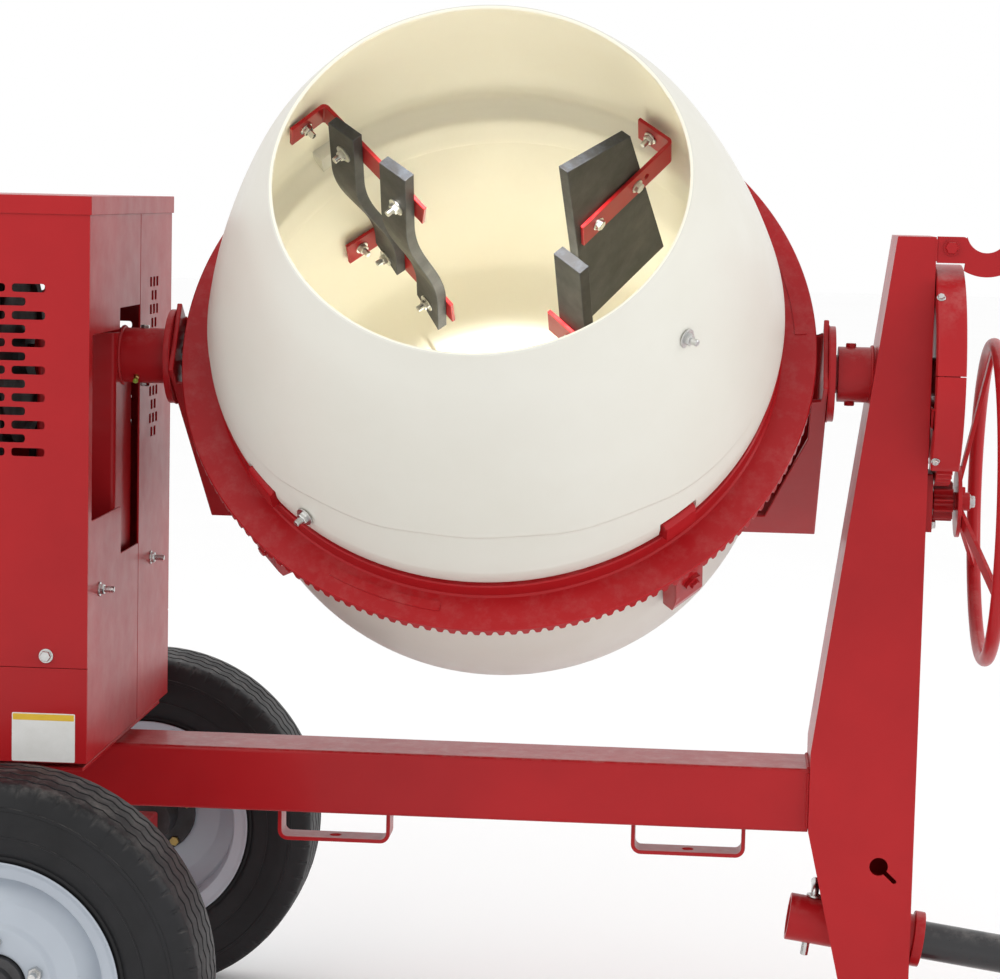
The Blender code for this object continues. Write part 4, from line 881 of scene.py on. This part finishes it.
def show_belt_drive():
    drop, clear = TILT_Z - ENGINE_Z, 0.0003 - 0.008
    inner = belt_loop(PULLEY_RADIUS + clear + 0.0015, SMALL_PULLEY_RADIUS + clear + 0.0015, drop)
    outer = belt_loop(PULLEY_RADIUS - 0.0005, SMALL_PULLEY_RADIUS - 0.0005, drop)
    belt = plate(0.011, outer, inner, at=spot(PULLEY_X, 0, TILT_Z, FACE_X))
    piece("belt", belt, "belt_rubber", "frame", "drive_belt", edge=0.0012)
    radius, groove, shaft, end = SMALL_PULLEY_RADIUS, SMALL_PULLEY_RADIUS - 0.008, 0.0125, -0.094
    line = [(0, 0.020), (0.022, 0.020), (0.022, 0.011), (radius, 0.011), (radius, 0.0085), (groove, 0.0070),
            (groove, -0.0070), (radius, -0.0085), (radius, -0.011), (shaft, -0.011), (shaft, end), (0, end)]
    piece("small_pulley", lathe(rounded(line, 0.0008, 2, False), 72, False), "cast_iron", "engine_drive",
          "engine_pulley", at=ROOT @ spot(PULLEY_X, 0, ENGINE_Z, FACE_X))
    drive = TILT @ FACE_X
    radius, bore, hub = PULLEY_RADIUS, 0.0143, 0.035
    line = [(radius, 0.011), (radius, 0.0085), (radius - 0.008, 0.0070), (radius - 0.008, -0.0070),
            (radius, -0.0085), (radius, -0.011), (0.130, -0.011), (0.126, -0.004), (0.048, -0.004),
            (hub, -0.011), (bore, -0.011), (bore, 0.020), (hub, 0.020), (hub, 0.011), (0.048, 0.004),
            (0.126, 0.004), (0.130, 0.011)]
    piece("big_pulley", lathe(rounded(line, 0.0015, 2), 96), "cast_iron", "drive", "drive_pulley",
          at=drive @ spot(0, 0, PULLEY_X))
    shaft = lathe(rounded([(0, -0.803), (0.014, -0.803), (0.014, -0.4705), (0, -0.4705)], 0.0015, 2,
                          False), 48, False)
    piece("shaft", shaft, "zinc", "drive", "drive_shaft", at=drive)
    face = (0.4705, 0.4965)
    pitch = sum(face) / 2 * DRIVE_TEETH / RING_TEETH
    outline = gear_outline(DRIVE_TEETH, pitch, 0.0523 - pitch, pitch - 0.0415, 0.0050, pi / 2)
    piece("pinion", plate(face[1] - face[0], outline, circle(0.0143)), "cast_iron", "drive", "drive_pinion",
          at=drive @ spot(0, 0, -sum(face) / 2), edge=0.0005)


# ------------------------------------------------------------------ tilting cradle
def show_yoke():
    inner, floor = YOKE_X - YOKE_WEB, -YOKE_DEPTH
    web = [(-YOKE_X, 0.060), (-YOKE_X, floor), (YOKE_X, floor), (YOKE_X, 0.060), (inner, 0.060),
           (inner, floor + YOKE_WEB), (-inner, floor + YOKE_WEB), (-inner, 0.060)]
    half = [(0.300, -0.394), (0.360, -0.362), (0.430, -0.362), (0.491, -0.100), (0.491, 0.015)]
    flange = ([(-YOKE_X, 0.020), (-YOKE_X, floor), (YOKE_X, floor), (YOKE_X, 0.020)]
              + half[::-1] + [(-x, z) for x, z in half])
    sides = [plate(STEEL, flange, at=spot(0, side * (YOKE_HALF - STEEL / 2), 0,
                                          FACE_Y)) for side in (-1, 1)]
    hole = rod(0.018, 0.03, 40, spot(-YOKE_X + YOKE_WEB / 2, 0, 0, FACE_X))
    yoke = carved(plate(2 * YOKE_HALF, web, at=FACE_Y.copy()), sides, [hole])
    piece("yoke_frame", yoke, "red_enamel", "cradle", "yoke", at=CRADLE, edge=0.0016)
    for side in (-1, 1):
        ring_weld("cradle", CRADLE @ spot(side * (YOKE_X + 0.001), 0, 0, FACE_X), HUB_DISC + 0.0003, 0.0013,
                  0, 360)


def show_trunnions():
    face, disc, shaft = YOKE_X + 0.0003, 0.0107, 0.030
    front = [(0, 0.722), (0.0275, 0.722), (shaft, 0.7195), (shaft, face + disc), (HUB_DISC, face + disc),
             (HUB_DISC, face), (0, face)]
    piece("front_shaft", lathe(rounded(front, 0.0010, 2, False), 96, False), "red_enamel", "cradle",
          "front_trunnion", at=CRADLE @ FACE_X)
    bore, journal = 0.018, 0.032
    rear = [(HUB_DISC, -face), (HUB_DISC, -face - disc), (journal, -face - disc), (journal, -0.735),
            (bore, -0.735), (bore, -face)]
    piece("rear_shaft", lathe(rounded(rear, 0.0010, 2), 96), "red_enamel", "cradle", "rear_trunnion",
          at=CRADLE @ FACE_X)
    phase = -pi / 2 - (pi / 2 - MOUTH_UP)
    gear = plate(0.024, gear_outline(TILT_TEETH, TILT_PITCH, 0.004, 0.005, 0.0064, phase), circle(0.0303))
    piece("tilt_gear_wheel", gear, "red_enamel", "cradle", "tilt_gear",
          at=CRADLE @ FACE_X @ spot(0, 0, 0.698), edge=0.0006, steps=1)
    floor = -YOKE_DEPTH + YOKE_WEB + 0.0003
    line = [(0, -0.300), (0.027, -0.300), (0.030, -0.303), (0.030, floor + 0.010), (0.052, floor + 0.010),
            (0.052, floor), (0, floor)]
    piece("spindle", lathe(rounded(line, 0.001, 2, False), 64, False), "cast_iron", "cradle",
          "drum_spindle",
          at=CRADLE)
    for angle in range(30, 390, 60):
        bolt("cradle", CRADLE @ towards(around(0.034, angle, -YOKE_DEPTH), (0, 0, -1)), 0.009)


# ------------------------------------------------------------------ drum
OUTSIDE = smoothed([(0.5180, 0.306), (0.450, 0.347), (0.350, 0.388), (0.250, 0.421), (0.160, 0.4435),
                    (0.130, 0.4470), (0.104, 0.4430)])[::-1]
ARCH = smoothed([(0, 0.2196), (10, 0.2190), (20, 0.2085), (33, 0.2005), (46, 0.1800), (66, 0.168),
                 (90, 0.160), (180, 0.155)])
RECESS = 0.0032


def outer_column(angle):
    """The drum's outer line at an angle about its axis: step, groove and the pocket at each lug."""
    from_low = abs((angle + 90.0 + 180.0) % 360.0 - 180.0)
    step = between(from_low, ARCH)
    depth = RECESS * (1 - ease(from_low, 75, 110))
    across = min(abs((angle - lug + 180.0) % 360.0 - 180.0) for lug in LUG_ANGLES)
    pocket = 1 - ease(radians(across) * 0.43, 0.0310, 0.0335)
    heights = [0.5180 - (0.5180 - step - 0.004) * i / 34 for i in range(34)]
    heights += [step + offset for offset in (0.004, 0.0025, 0.001, -0.001, -0.0025, -0.004)]
    lowest = 0.1412
    heights += [step - 0.004 + (lowest - step + 0.004) * i / 5 for i in range(1, 6)]
    heights += [0.1395, 0.1372, 0.1365, 0.130, 0.122, 0.113, 0.104]
    line = []
    for s in heights:
        radius = between(s, OUTSIDE) - depth * ease(s, step + 0.004, step - 0.004)
        share = pocket * ease(s, 0.1400, 0.1370)
        line.append((radius * (1 - share) + (DRUM_GROOVE + 0.0002) * share, s))
    line += [(line[-1][0] - 0.004 * (1 - pocket), 0.1000)]
    line[-1] = (max(line[-1][0], DRUM_GROOVE), 0.1000)
    line += [(DRUM_GROOVE, 0.0940), (DRUM_GROOVE, 0.0905), (DRUM_GROOVE, 0.0390), (DRUM_GROOVE, 0.0360),
             (0.4185, 0.0325), (0.4325, 0.0255), (0.4345, 0.0240)]
    return line


def drum_column(angle):
    low = smoothed([(0.4345, 0.024), (0.4350, -0.080), (0.4290, -0.190), (0.4080, -0.282),
                    (0.3780, -0.332), (0.3100, -0.372), (0.250, -0.385)], 6)[1:]
    neck = 0.0553
    bottom = [(neck + 0.001, -0.385), (neck, -0.384), (neck, -0.378), (neck + 0.001, -0.377)]
    floor = smoothed([(0.250, -0.377), (0.3050, -0.3640), (0.3700, -0.3240), (0.4000, -0.282),
                      (0.4210, -0.190), (0.4270, -0.080), (0.4265, 0.010)], 6)
    ridge = smoothed([(0.4265, 0.010), (0.4190, 0.024), (0.4085, 0.034), (0.4075, 0.065), (0.4085, 0.095),
                      (0.4235, 0.109), (0.4362, 0.122), (0.4372, 0.140), (0.4330, 0.170), (0.4130, 0.250),
                      (0.3800, 0.350), (0.3390, 0.450), (0.2990, 0.5150)], 6)[1:]
    lip = smoothed([(0.2990, 0.5150), (0.2982, 0.5188), (0.3005, 0.5206), (0.3040, 0.5202),
                    (0.306, 0.5180)], 4)
    return outer_column(angle) + low + bottom + floor + ridge + lip[1:-1]


def show_drum_shell():
    angles = {round(360.0 * k / 240, 4) for k in range(240)}
    for lug in LUG_ANGLES:
        for reach in (0.0295, 0.0310, 0.0316, 0.0322, 0.0328, 0.0335, 0.0350):
            for side in (-1, 1):
                angles.add(round((lug + side * degrees(reach / 0.43)) % 360.0, 4))
    rings = []
    for angle in sorted(angles):
        c, s = cos(radians(angle)), sin(radians(angle))
        rings.append([(r * c, r * s, z) for r, z in drum_column(angle)])
    # The inner wall's rows take the second finish, the lighter cream: painted light inside the drum.
    outer = len(outer_column(0)) + 40
    shell = skin(rings, inner_rows=(outer, len(rings[0]) - 6))
    piece("drum_body", shell, "cream_polymer", "drum", "drum_shell", at=CRADLE, sharp=50.0)
    for angle, s in ((-33.9, 0.417), (234.4, 0.148)):
        show_drum_bolt(angle, s, between(s, OUTSIDE))


def show_drum_bolt(angle, s, radius):
    out = Vector((cos(radians(angle)), sin(radians(angle)), 0))
    tilt = (out + Vector((0, 0, 0.22))).normalized()
    bolt("drum", CRADLE @ towards(out * radius + Vector((0, 0, s)) - tilt * 0.0005, tilt), 0.010,
         washer=1.25,
         stud=0.012)


def show_ring():
    """The ring gear: a raised rim and a toothed flange, its teeth tapering towards the axis."""
    shape = ((0.00, 0.0), (0.10, 0.15), (0.22, 0.85), (0.30, 1.0), (0.58, 1.0), (0.66, 0.85), (0.78, 0.15),
             (0.88, 0.0))
    rings = []
    for tooth in range(RING_TEETH):
        for share, rise in shape:
            a = tau * (tooth + share - 0.44 + 0.5) / RING_TEETH
            tip = RING_ROOT - (RING_ROOT - RING_TIP) * rise
            inner_tip = RING_ROOT - 0.0004 * rise
            line = [(RING_BORE, RING_ROOT + 0.001), (RING_BORE, RING_RIM_TOP - 0.0015),
                    (RING_BORE + 0.0015, RING_RIM_TOP), (RING_STEP - 0.0020, RING_RIM_TOP),
                    (RING_STEP, RING_RIM_TOP - 0.0020), (RING_STEP, RING_FACE + 0.0030),
                    (RING_STEP + 0.0030, RING_FACE), (RING_RADIUS - 0.0015, RING_FACE),
                    (RING_RADIUS, RING_FACE - 0.0015), (RING_RADIUS, tip + 0.0006),
                    (RING_RADIUS - 0.0008, tip), (RING_STEP + 0.0045, inner_tip),
                    (RING_BORE + 0.001, RING_ROOT)]
            rings.append([(r * cos(a), r * sin(a), z) for r, z in line])
    piece("ring", skin(rings), "red_enamel", "drum", "ring_gear", at=CRADLE, sharp=32.0)
    for first, last, low, high in ((4.0, 20.0, 0.4640, 0.4830), (241.0, 263.0, 0.4560, 0.4720)):
        pad = arc(0, 0, high, first, last, 24) + arc(0, 0, low, last, first, 24)
        gather("drum", "red_enamel", plate(0.0016, rounded(pad, 0.004, 3)),
               CRADLE @ spot(0, 0, RING_FACE + 0.0008))


def show_lugs():
    """Hooked clamps that hold the ring in the drum's groove."""
    top = RING_RIM_TOP + 0.0003
    line = [(0.4172, 0.1220), (0.4300, 0.1345), (0.4440, 0.1345), (0.4500, 0.1270), (0.4500, top),
            (0.4231, top),
            (0.4231, 0.0420), (0.4655, 0.0420), (0.4685, 0.0380), (0.4685, -0.0950), (0.4620, -0.1200),
            (0.4395, -0.1300), (0.4395, 0.0364), (0.4172, 0.0364)]
    rib = [(0.4560, 0.0405), (0.4715, 0.0405), (0.4715, -0.0700), (0.4660, -0.1050), (0.4560, -0.1100)]
    for number, angle in enumerate(LUG_ANGLES, 1):
        at = CRADLE @ about(angle) @ Matrix.Rotation(pi / 2, 4, "X")
        hook = plate(0.055, rounded(line, 0.0022, 3))
        bosses = [plate(0.007, rounded(rib, 0.003, 3), at=spot(0, 0, 0.0235)),
                  rod(0.0095, 0.058, 40, spot(0.4395, 0.1250, 0)),
                  rod(0.015, 0.012, 40, spot(0.4685, -0.0500, -0.006) @ about(90, "Y"))]
        piece(f"lug_{number}", carved(hook, bosses), "red_enamel", "drum", f"ring_lug_{number}", at=at,
              edge=0.0008)
        bolt("drum", at @ towards((0.4735, -0.0500, -0.006), (1, 0, 0)), 0.009, "red_enamel", washer=0)


# name, angle and sideways shift of the bar, its height on the drum's axis, where its arm ends, how far
# the arm dips inwards in degrees, and the radius at which its foot meets the wall
BRACKETS = (
    ("paddle_bracket_1", 136.0, 0.0000, 0.298, 0.150, 11.3, 0.38610),
    ("paddle_bracket_2", 131.0, -0.0468, -0.148, 0.207, 0.0, 0.41678),
    ("paddle_bracket_3", 51.5, 0.0000, 0.140, 0.200, 0.0, 0.41803),
    ("paddle_bracket_4", -44.0, 0.0000, 0.290, 0.135, 0.0, 0.38371),
)
BAR_WIDTH, BAR_STEEL, BAR_FOOT, BOARD_GAP, BOARD_THICK = 0.050, 0.006, 0.065, 0.0004, 0.018
BEND_TOP, BEND_LOW = 0.205, -0.115


def bracket_place(angle, shift, height, dip, seat):
    return about(angle) @ spot(seat, shift, height) @ about(-dip, "Y") @ spot(-seat, 0, 0)


def outer_radius(s):
    low = [(-0.282, 0.4080), (-0.190, 0.4290), (-0.080, 0.4350), (0.024, 0.4345)]
    return between(s, low if s < 0.024 else OUTSIDE)


def show_brackets():
    for name, angle, shift, height, reach, dip, seat in BRACKETS:
        bend, inside, low = 0.010, 0.010 - BAR_STEEL, -BAR_STEEL
        line = ([(reach, 0), (reach, low)] + arc(seat - bend, low + bend, bend, -90, 0, 10)
                + [(seat, BAR_FOOT), (seat - BAR_STEEL, BAR_FOOT)]
                + arc(seat - bend, low + bend, inside, 0, -90, 8))
        at = CRADLE @ bracket_place(angle, shift, height, dip, seat)
        spare = rod(0.0055, 0.03, 24, spot(0.351, 0, 0) @ about(90, "X"))
        bar = plate(BAR_WIDTH, line)
        if name.endswith("3"):
            bar = carved(bar, cuts=[spare])
        piece(name + "_bar", bar, "red_enamel", "drum", name, at=at, edge=0.0009)
        bolt("drum", at @ towards((seat - BAR_STEEL, 0.038, 0), (-1, 0, 0)), 0.010, stud=0.012)
        if not name.endswith("4"):
            show_drum_bolt(angle + degrees(atan2(shift + 0.038, seat)), height, outer_radius(height))


def board(name, upper, lower, corners, bolts):
    """A board that eases from its lower flat length to its upper one, each given as angle, sideways
    shift, radius at height 0 and slope; corners are reach across the board and height."""

    def point(across, s, through):
        share = ease(s, BEND_LOW, BEND_TOP)
        spot_there = Vector((0, 0, s))
        for part, (angle, shift, radius, slope) in ((share, upper), (1 - share, lower)):
            out = Vector((cos(radians(angle)), sin(radians(angle)), 0))
            along = Vector((-out.y, out.x, 0))
            spot_there += part * (out * (radius + slope * s + across) + along * (shift + through))
        return spot_there

    outer_top, inner_top, inner_low, outer_low = [Vector(corner) for corner in corners]
    rings = []
    for k in range(41):
        outer, inner = outer_top.lerp(outer_low, k / 40), inner_top.lerp(inner_low, k / 40)
        rings.append([point(*outer, 0), point(*inner, 0), point(*inner, BOARD_THICK),
                      point(*outer, BOARD_THICK)])
    piece(name + "_board", skin(rings, loop=False, caps=True), "paddle_board", "drum", name, at=CRADLE,
          edge=0.0012)
    for across, s in bolts:
        normal = (point(across, s, 1) - point(across, s, 0)).normalized()
        bolt("drum", CRADLE @ towards(point(across, s, BOARD_THICK), normal), 0.010, washer=1.3, stud=0.012)
        bolt("drum", CRADLE @ towards(point(across, s, -BAR_STEEL - BOARD_GAP), -normal), 0.010)


def show_boards():
    top, low = BOARD_GAP, -0.0468 + BOARD_GAP
    board("paddle_1", (136.0, top, 0.3472, -0.0971), (131.0, low, 0.3526, -0.0974),
          [(0.030, 0.325), (-0.030, 0.338), (-0.030, -0.170), (0.030, -0.135)],
          [(-0.005, 0.2747), (0, -0.148)])
    board("paddle_2", (136.0, top, 0.2300, -0.1054), (131.0, low, 0.2349, -0.1058),
          [(0.030, 0.343), (-0.030, 0.357), (-0.030, -0.205), (0.030, -0.160)],
          [(-0.008, 0.2560), (0, -0.148)])
    board("paddle_3", (51.5, top, 0.290, 0.0), (51.5, top, 0.290, 0.0),
          [(0.032, 0.272), (-0.112, 0.332), (-0.085, -0.120), (0.110, -0.120)],
          [(-0.056, 0.140), (0.037, 0.140)])
    board("paddle_4", (-44.0, top, 0.183, 0.0), (-44.0, top, 0.183, 0.0),
          [(0.022, 0.486), (-0.033, 0.478), (-0.025, 0.110), (0.032, 0.110)], [(0.0, 0.290)])


def show_hub():
    floor, bore = -0.385 + DRUM_WALL + 0.0003, 0.0303
    line = [(0, -0.285), (0.030, -0.285), (0.055, -0.320), (0.055, floor + 0.010), (0.100, floor + 0.008),
            (0.100, floor), (0.055, floor), (0.055, -0.398), (bore, -0.398), (bore, -0.2965), (0, -0.2965)]
    piece("hub_casting", lathe(rounded(line, 0.002, 3, False), 72, False), "cast_iron", "drum",
          "drum_hub", at=CRADLE)
    for angle in range(0, 360, 45):
        place = (0.082 * cos(radians(angle)), 0.082 * sin(radians(angle)), floor + 0.0085)
        bolt("drum", CRADLE @ spot(*place), 0.010, washer=0)


# ------------------------------------------------------------------ tilt drive
def show_handwheel():
    hub_z, radius = 0.7235, 0.0145
    rim = lathe([(HANDWHEEL_RADIUS + x, HANDWHEEL_X + z) for x, z in circle(HANDWHEEL_RIM, 24)], 144)
    reach, rise = HANDWHEEL_RADIUS - 0.030, HANDWHEEL_X - hub_z - 0.0045
    slope, bars = atan2(rise, reach), []
    for spoke in (90, 210, 330):
        a, mid = radians(spoke), 0.030 + reach / 2
        turn = Matrix.Rotation(a, 4, "Z") @ Matrix.Rotation(-slope, 4, "Y")
        middle = Vector((mid * cos(a), mid * sin(a), hub_z + 0.0045 + rise / 2))
        bars.append(block(hypot(reach, rise), 0.024, 0.006, Matrix.Translation(middle) @ turn))
    wheel = carved(rim, [*bars, rod(0.0565, 0.006, 72, spot(0, 0, hub_z + 0.003)),
                         rod(radius, 0.140, 48, spot(0, 0, 0.675))])
    piece("tilt_handwheel", wheel, "red_enamel", "tilt_wheel", "handwheel", at=HAND, edge=0.0010)
    outline = gear_outline(PINION_TEETH, PINION_PITCH, 0.004, 0.005, 0.0060, pi / 2 + pi / PINION_TEETH)
    piece("small_gear", plate(0.030, outline, circle(radius + 0.0003)), "red_enamel", "tilt_wheel",
          "tilt_pinion",
          at=HAND @ spot(0, 0, 0.703), edge=0.0006)
    for angle in (30, 150, 270):
        bolt("tilt_wheel", HAND @ spot(*around(0.040, angle, hub_z + 0.006)), 0.008, "red_enamel", washer=0)
    bolt("tilt_wheel", HAND @ spot(0, 0, 0.7447), 0.010)


def show_guard():
    inner, thick = 0.140, 0.0022
    section = [(inner, GUARD_BACK), (GUARD_RADIUS, GUARD_BACK), (GUARD_RADIUS, GUARD_FRONT),
               (inner, GUARD_FRONT),
               (inner, GUARD_FRONT - thick), (GUARD_RADIUS - thick, GUARD_FRONT - thick),
               (GUARD_RADIUS - thick, GUARD_BACK + thick), (inner, GUARD_BACK + thick)]
    section = rounded(section, 0.003, 4)
    start, low = degrees(atan2(GUARD_JOINT, GUARD_RADIUS)), 55.0

    def sweep(first, last, steps):
        rings = []
        for k in range(steps + 1):
            a = radians(first + (last - first) * k / steps)
            rings.append([(x, radius * cos(a), radius * sin(a)) for radius, x in section])
        return skin(rings, loop=False, caps=True)

    piece("guard_top", sweep(start, 180 - start, 96), "red_enamel", "frame", "gear_guard_upper", at=TILT)
    strap = block(thick, 0.30, 0.030, spot(GUARD_BACK + thick / 2, 0, -0.058))
    parts = [sweep(start - 0.4 - low, start - 0.4, 32),
             sweep(180 - start + 0.4, 180 - start + 0.4 + low, 32), strap]
    piece("guard_low", joined(*parts), "red_enamel", "frame", "gear_guard_lower", at=TILT)
    for angle in (133.6, 223.3, 46.4, -43.3):
        out = (0, cos(radians(angle)), sin(radians(angle)))
        place = Vector(out) * GUARD_RADIUS + Vector((0.680, 0, 0))
        bolt("frame", TILT @ towards(place, out), 0.006)
    box = plate(0.0115, rounded(rectangle(-0.042, -0.046, 0.042, 0.046), 0.004), circle(0.0148),
                at=spot(COLUMN_FACE + 0.00605, 0, HANDWHEEL_Z, FACE_X))
    piece("pinion_block", box, "red_enamel", "frame", "pinion_bearing", edge=0.0016)
    for y in (-0.031, 0.031):
        for z in (-0.034, 0.034):
            bolt("frame", ROOT @ towards((COLUMN_FACE + 0.0118, y, HANDWHEEL_Z + z), (1, 0, 0)), 0.007)


# ------------------------------------------------------------------ road wheels
def tyre_rows():
    """Rows across the tyre from bead to bead: width, radius, zig-zag share, and what the row is."""
    side = [(0.0550, 0.1672, "bead"), (0.0600, 0.1720, "side"), (0.0640, 0.1850, "side"),
            (0.0668, 0.1900, "side"), (0.0668, 0.1925, "side"), (0.0660, 0.1950, "side"),
            (0.0760, 0.2050, "side"), (0.0825, 0.2200, "side"), (0.0845, 0.2265, "side"),
            (0.0856, 0.2270, "side"), (0.0856, 0.2290, "side"), (0.0848, 0.2296, "side"),
            (0.0870, 0.2450, "side"), (0.0868, 0.2550, "side"), (0.0852, 0.2650, "side"),
            (0.0862, 0.2656, "side"), (0.0856, 0.2700, "side"), (0.0840, 0.2706, "side"),
            (0.0805, 0.2830, "side"), (0.0780, 0.2915, "shoulder"), (0.0740, 0.2965, "shoulder"),
            (0.0690, 0.3005, "shoulder"), (0.0640, 0.3022, "tread")]
    rows = [(-width, radius, 0.0, kind) for width, radius, kind in side]
    half, depth = 0.0030, 0.0075
    for middle in (-0.0440, -0.0150, 0.0150, 0.0440):
        crown = 0.3044 - 0.0020 * (middle / 0.0640) ** 2
        for offset, drop, kind in ((-half - 0.0006, 0.0, "tread"), (-half, 0.0006, "tread"),
                                   (-half * 0.6, depth, "groove"), (half * 0.6, depth, "tread"),
                                   (half, 0.0006, "tread"), (half + 0.0006, 0.0, "tread")):
            rows.append((middle + offset, crown - drop, 1.0, kind))
    return rows + [(width, radius, 0.0, kind) for width, radius, kind in side[::-1]]


def show_tyre(name, at):
    rows, pitches, per = tyre_rows(), 64, 12
    rings = []
    for k in range(pitches * per):
        a, phase = tau * k / (pitches * per), (k % per) / per
        zig = 0.0042 * (abs(4 * phase - 2) - 1)
        ring = []
        for width, radius, share, kind in rows:
            sipe = phase in (0.0, 1 / per) if width < 0 else 0.5 <= phase < 0.5 + 1.5 / per
            if kind == "shoulder" and sipe:
                radius -= 0.0032
            w = width + zig * share
            ring.append((radius * cos(a), radius * sin(a), w))
        rings.append(ring)
    tyre = skin(rings)
    kinds = [row[3] for row in rows]
    count = len(rows)
    for number, face in enumerate(tyre.polygons):
        face.material_index = 1 if kinds[number % count] == "groove" else 0
    piece(name, tyre, "tyre_rubber", "wheel_" + name.split("_")[1], name, at=at, sharp=38.0)


def show_wheel(side, sign, yaw):
    at = ROOT @ spot(WHEEL_X, sign * WHEEL_Y, TYRE_RADIUS) @ Matrix.Rotation(yaw, 4, "Z") @ FACE_Y
    show_tyre(f"tyre_{side}", at)
    body = f"wheel_{side}"
    line = [(0.1885, 0.0710), (0.1845, 0.0650), (0.1720, 0.0600), (RIM_SEAT, 0.0545), (RIM_SEAT, 0.0380),
            (0.1600, 0.0300), (0.1600, -0.0300), (RIM_SEAT, -0.0380), (RIM_SEAT, -0.0545),
            (0.1720, -0.0600),
            (0.1845, -0.0650), (0.1885, -0.0710), (0.1862, -0.0722), (0.1790, -0.0660), (0.1615, -0.0580),
            (0.1555, -0.0300), (0.1555, 0.0150), (0.1500, 0.0140), (0.1200, 0.0300), (0.0780, 0.0360),
            (0.0460, 0.0360), (0.0460, 0.0405), (0.0820, 0.0405), (0.0900, 0.0350), (0.1210, 0.0330),
            (0.1520, 0.0185), (0.1590, 0.0225), (0.1615, 0.0560), (0.1790, 0.0660), (0.1862, 0.0722)]
    piece(f"rim_disc_{side}", lathe(rounded(line, 0.0022, 3), 144), "silver_paint", body, f"rim_{side}",
          at=at)
    bore = 0.0163
    hub = [(0, 0.0700), (0.0240, 0.0700), (0.0300, 0.0640), (0.0320, 0.0520), (0.0440, 0.0500),
           (0.0440, 0.0357),
           (0.0740, 0.0357), (0.0740, 0.0260), (0.0430, 0.0240), (0.0420, -0.0450), (bore, -0.0450),
           (bore, 0.0500), (0, 0.0500)]
    piece(f"hub_{side}_casting", lathe(rounded(hub, 0.0016, 3, False), 96, False), "cast_iron", body,
          f"hub_{side}",
          at=at)
    for k in range(5):
        angle = 90 + 72 * k
        bolt(body, at @ spot(*around(STUD_CIRCLE, angle, 0.0405)), 0.012, washer=0, stud=0.022)
        behind = towards(around(STUD_CIRCLE, angle, 0.0258), (0, 0, -1))
        bolt(body, at @ behind, 0.010, "yellow_zinc", washer=0)
    valve = at @ towards((0.1330, 0.0, 0.0270), (0.25, 0, 1))
    gather(body, "belt_rubber", lathe([(0, -0.002), (0.0045, -0.002), (0.0038, 0.016), (0.0030, 0.022),
                                       (0, 0.022)],
                                      20, False), valve)


# ------------------------------------------------------------------ stage
def area_light(name, place, target, size, power, colour=(1, 1, 1)):
    light = bpy.data.lights.new(name, "AREA")
    light.shape = "RECTANGLE"
    light.size, light.size_y = size
    light.energy = power
    light.color = colour
    obj = bpy.data.objects.new(name, light)
    obj.matrix_world = towards(place, Vector(place) - Vector(target))
    bpy.context.scene.collection.objects.link(obj)


def mouth_lamp():
    """A narrow lamp on the drum's axis that shines into its mouth at rest."""
    lamp = bpy.data.lights.new("mouth", "SPOT")
    lamp.energy, lamp.color = 6400.0, (1.0, 0.975, 0.90)
    lamp.spot_size, lamp.spot_blend, lamp.shadow_soft_size = radians(6.3), 0.25, 0.05
    place, mouth = CRADLE @ Vector((0, 0, 4.90)), CRADLE @ Vector((0, 0, 0.50))
    obj = bpy.data.objects.new("mouth", lamp)
    obj.matrix_world = towards(place, place - mouth)
    bpy.context.scene.collection.objects.link(obj)


def set_stage():
    bm = bmesh.new()
    bmesh.ops.create_circle(bm, cap_ends=True, segments=64, radius=40.0)
    floor = bpy.data.objects.new("floor", from_bmesh(bm))
    floor.location.z = -0.0002
    bpy.context.scene.collection.objects.link(floor)
    shader = Shader("floor_paint")
    tone = shader.mix(shader.spread(shader.noise(0.8, 3.0), 0.3, 0.7), (0.985, 0.985, 0.985),
                      (0.975, 0.975, 0.975))
    shader.link(tone, shader.main.inputs["Base Color"])
    shader.main.inputs["Roughness"].default_value = 0.9
    floor.data.materials.append(shader.material)
    world = bpy.data.worlds.new("studio")
    world.use_nodes = True
    world.node_tree.nodes["Background"].inputs["Color"].default_value = (1.0, 1.0, 1.0, 1)
    world.node_tree.nodes["Background"].inputs["Strength"].default_value = 1.0
    bpy.context.scene.world = world
    area_light("key", (-2.6, -4.6, 4.4), (-0.1, 0, 0.9), (2.4, 2.4), 40.0, (1.0, 0.985, 0.95))
    mouth_lamp()
    area_light("side", (4.6, -1.0, 2.6), (0.2, 0, 0.9), (2.2, 2.2), 45.0)
    bpy.context.scene.view_settings.view_transform = "Standard"


def set_camera():
    yaw, pitch, roll = radians(4.458), radians(6.054), radians(1.278)
    ahead = Vector((-sin(yaw) * cos(pitch), cos(yaw) * cos(pitch), -sin(pitch)))
    right = Vector((cos(yaw), sin(yaw), 0))
    up = right.cross(ahead)
    x_axis = cos(roll) * right + sin(roll) * up
    y_axis = -sin(roll) * right + cos(roll) * up
    camera = bpy.data.cameras.new("camera")
    camera.lens, camera.sensor_width = 100.8, 36.0
    obj = bpy.data.objects.new("camera", camera)
    matrix = Matrix((x_axis, y_axis, -ahead)).transposed().to_4x4()
    matrix.translation = (0.2512, -4.422, 1.450)
    obj.matrix_world = matrix
    bpy.context.scene.collection.objects.link(obj)
    bpy.context.scene.camera = obj


show_chassis()
show_column()
show_pole()
show_cowl()
show_engine()
show_belt_drive()
show_yoke()
show_trunnions()
show_drum_shell()
show_ring()
show_lugs()
show_brackets()
show_boards()
show_hub()
show_handwheel()
show_guard()
show_wheel("near", -1, 0)
show_wheel("far", 1, pi)
show_gathered()
set_stage()
set_camera()
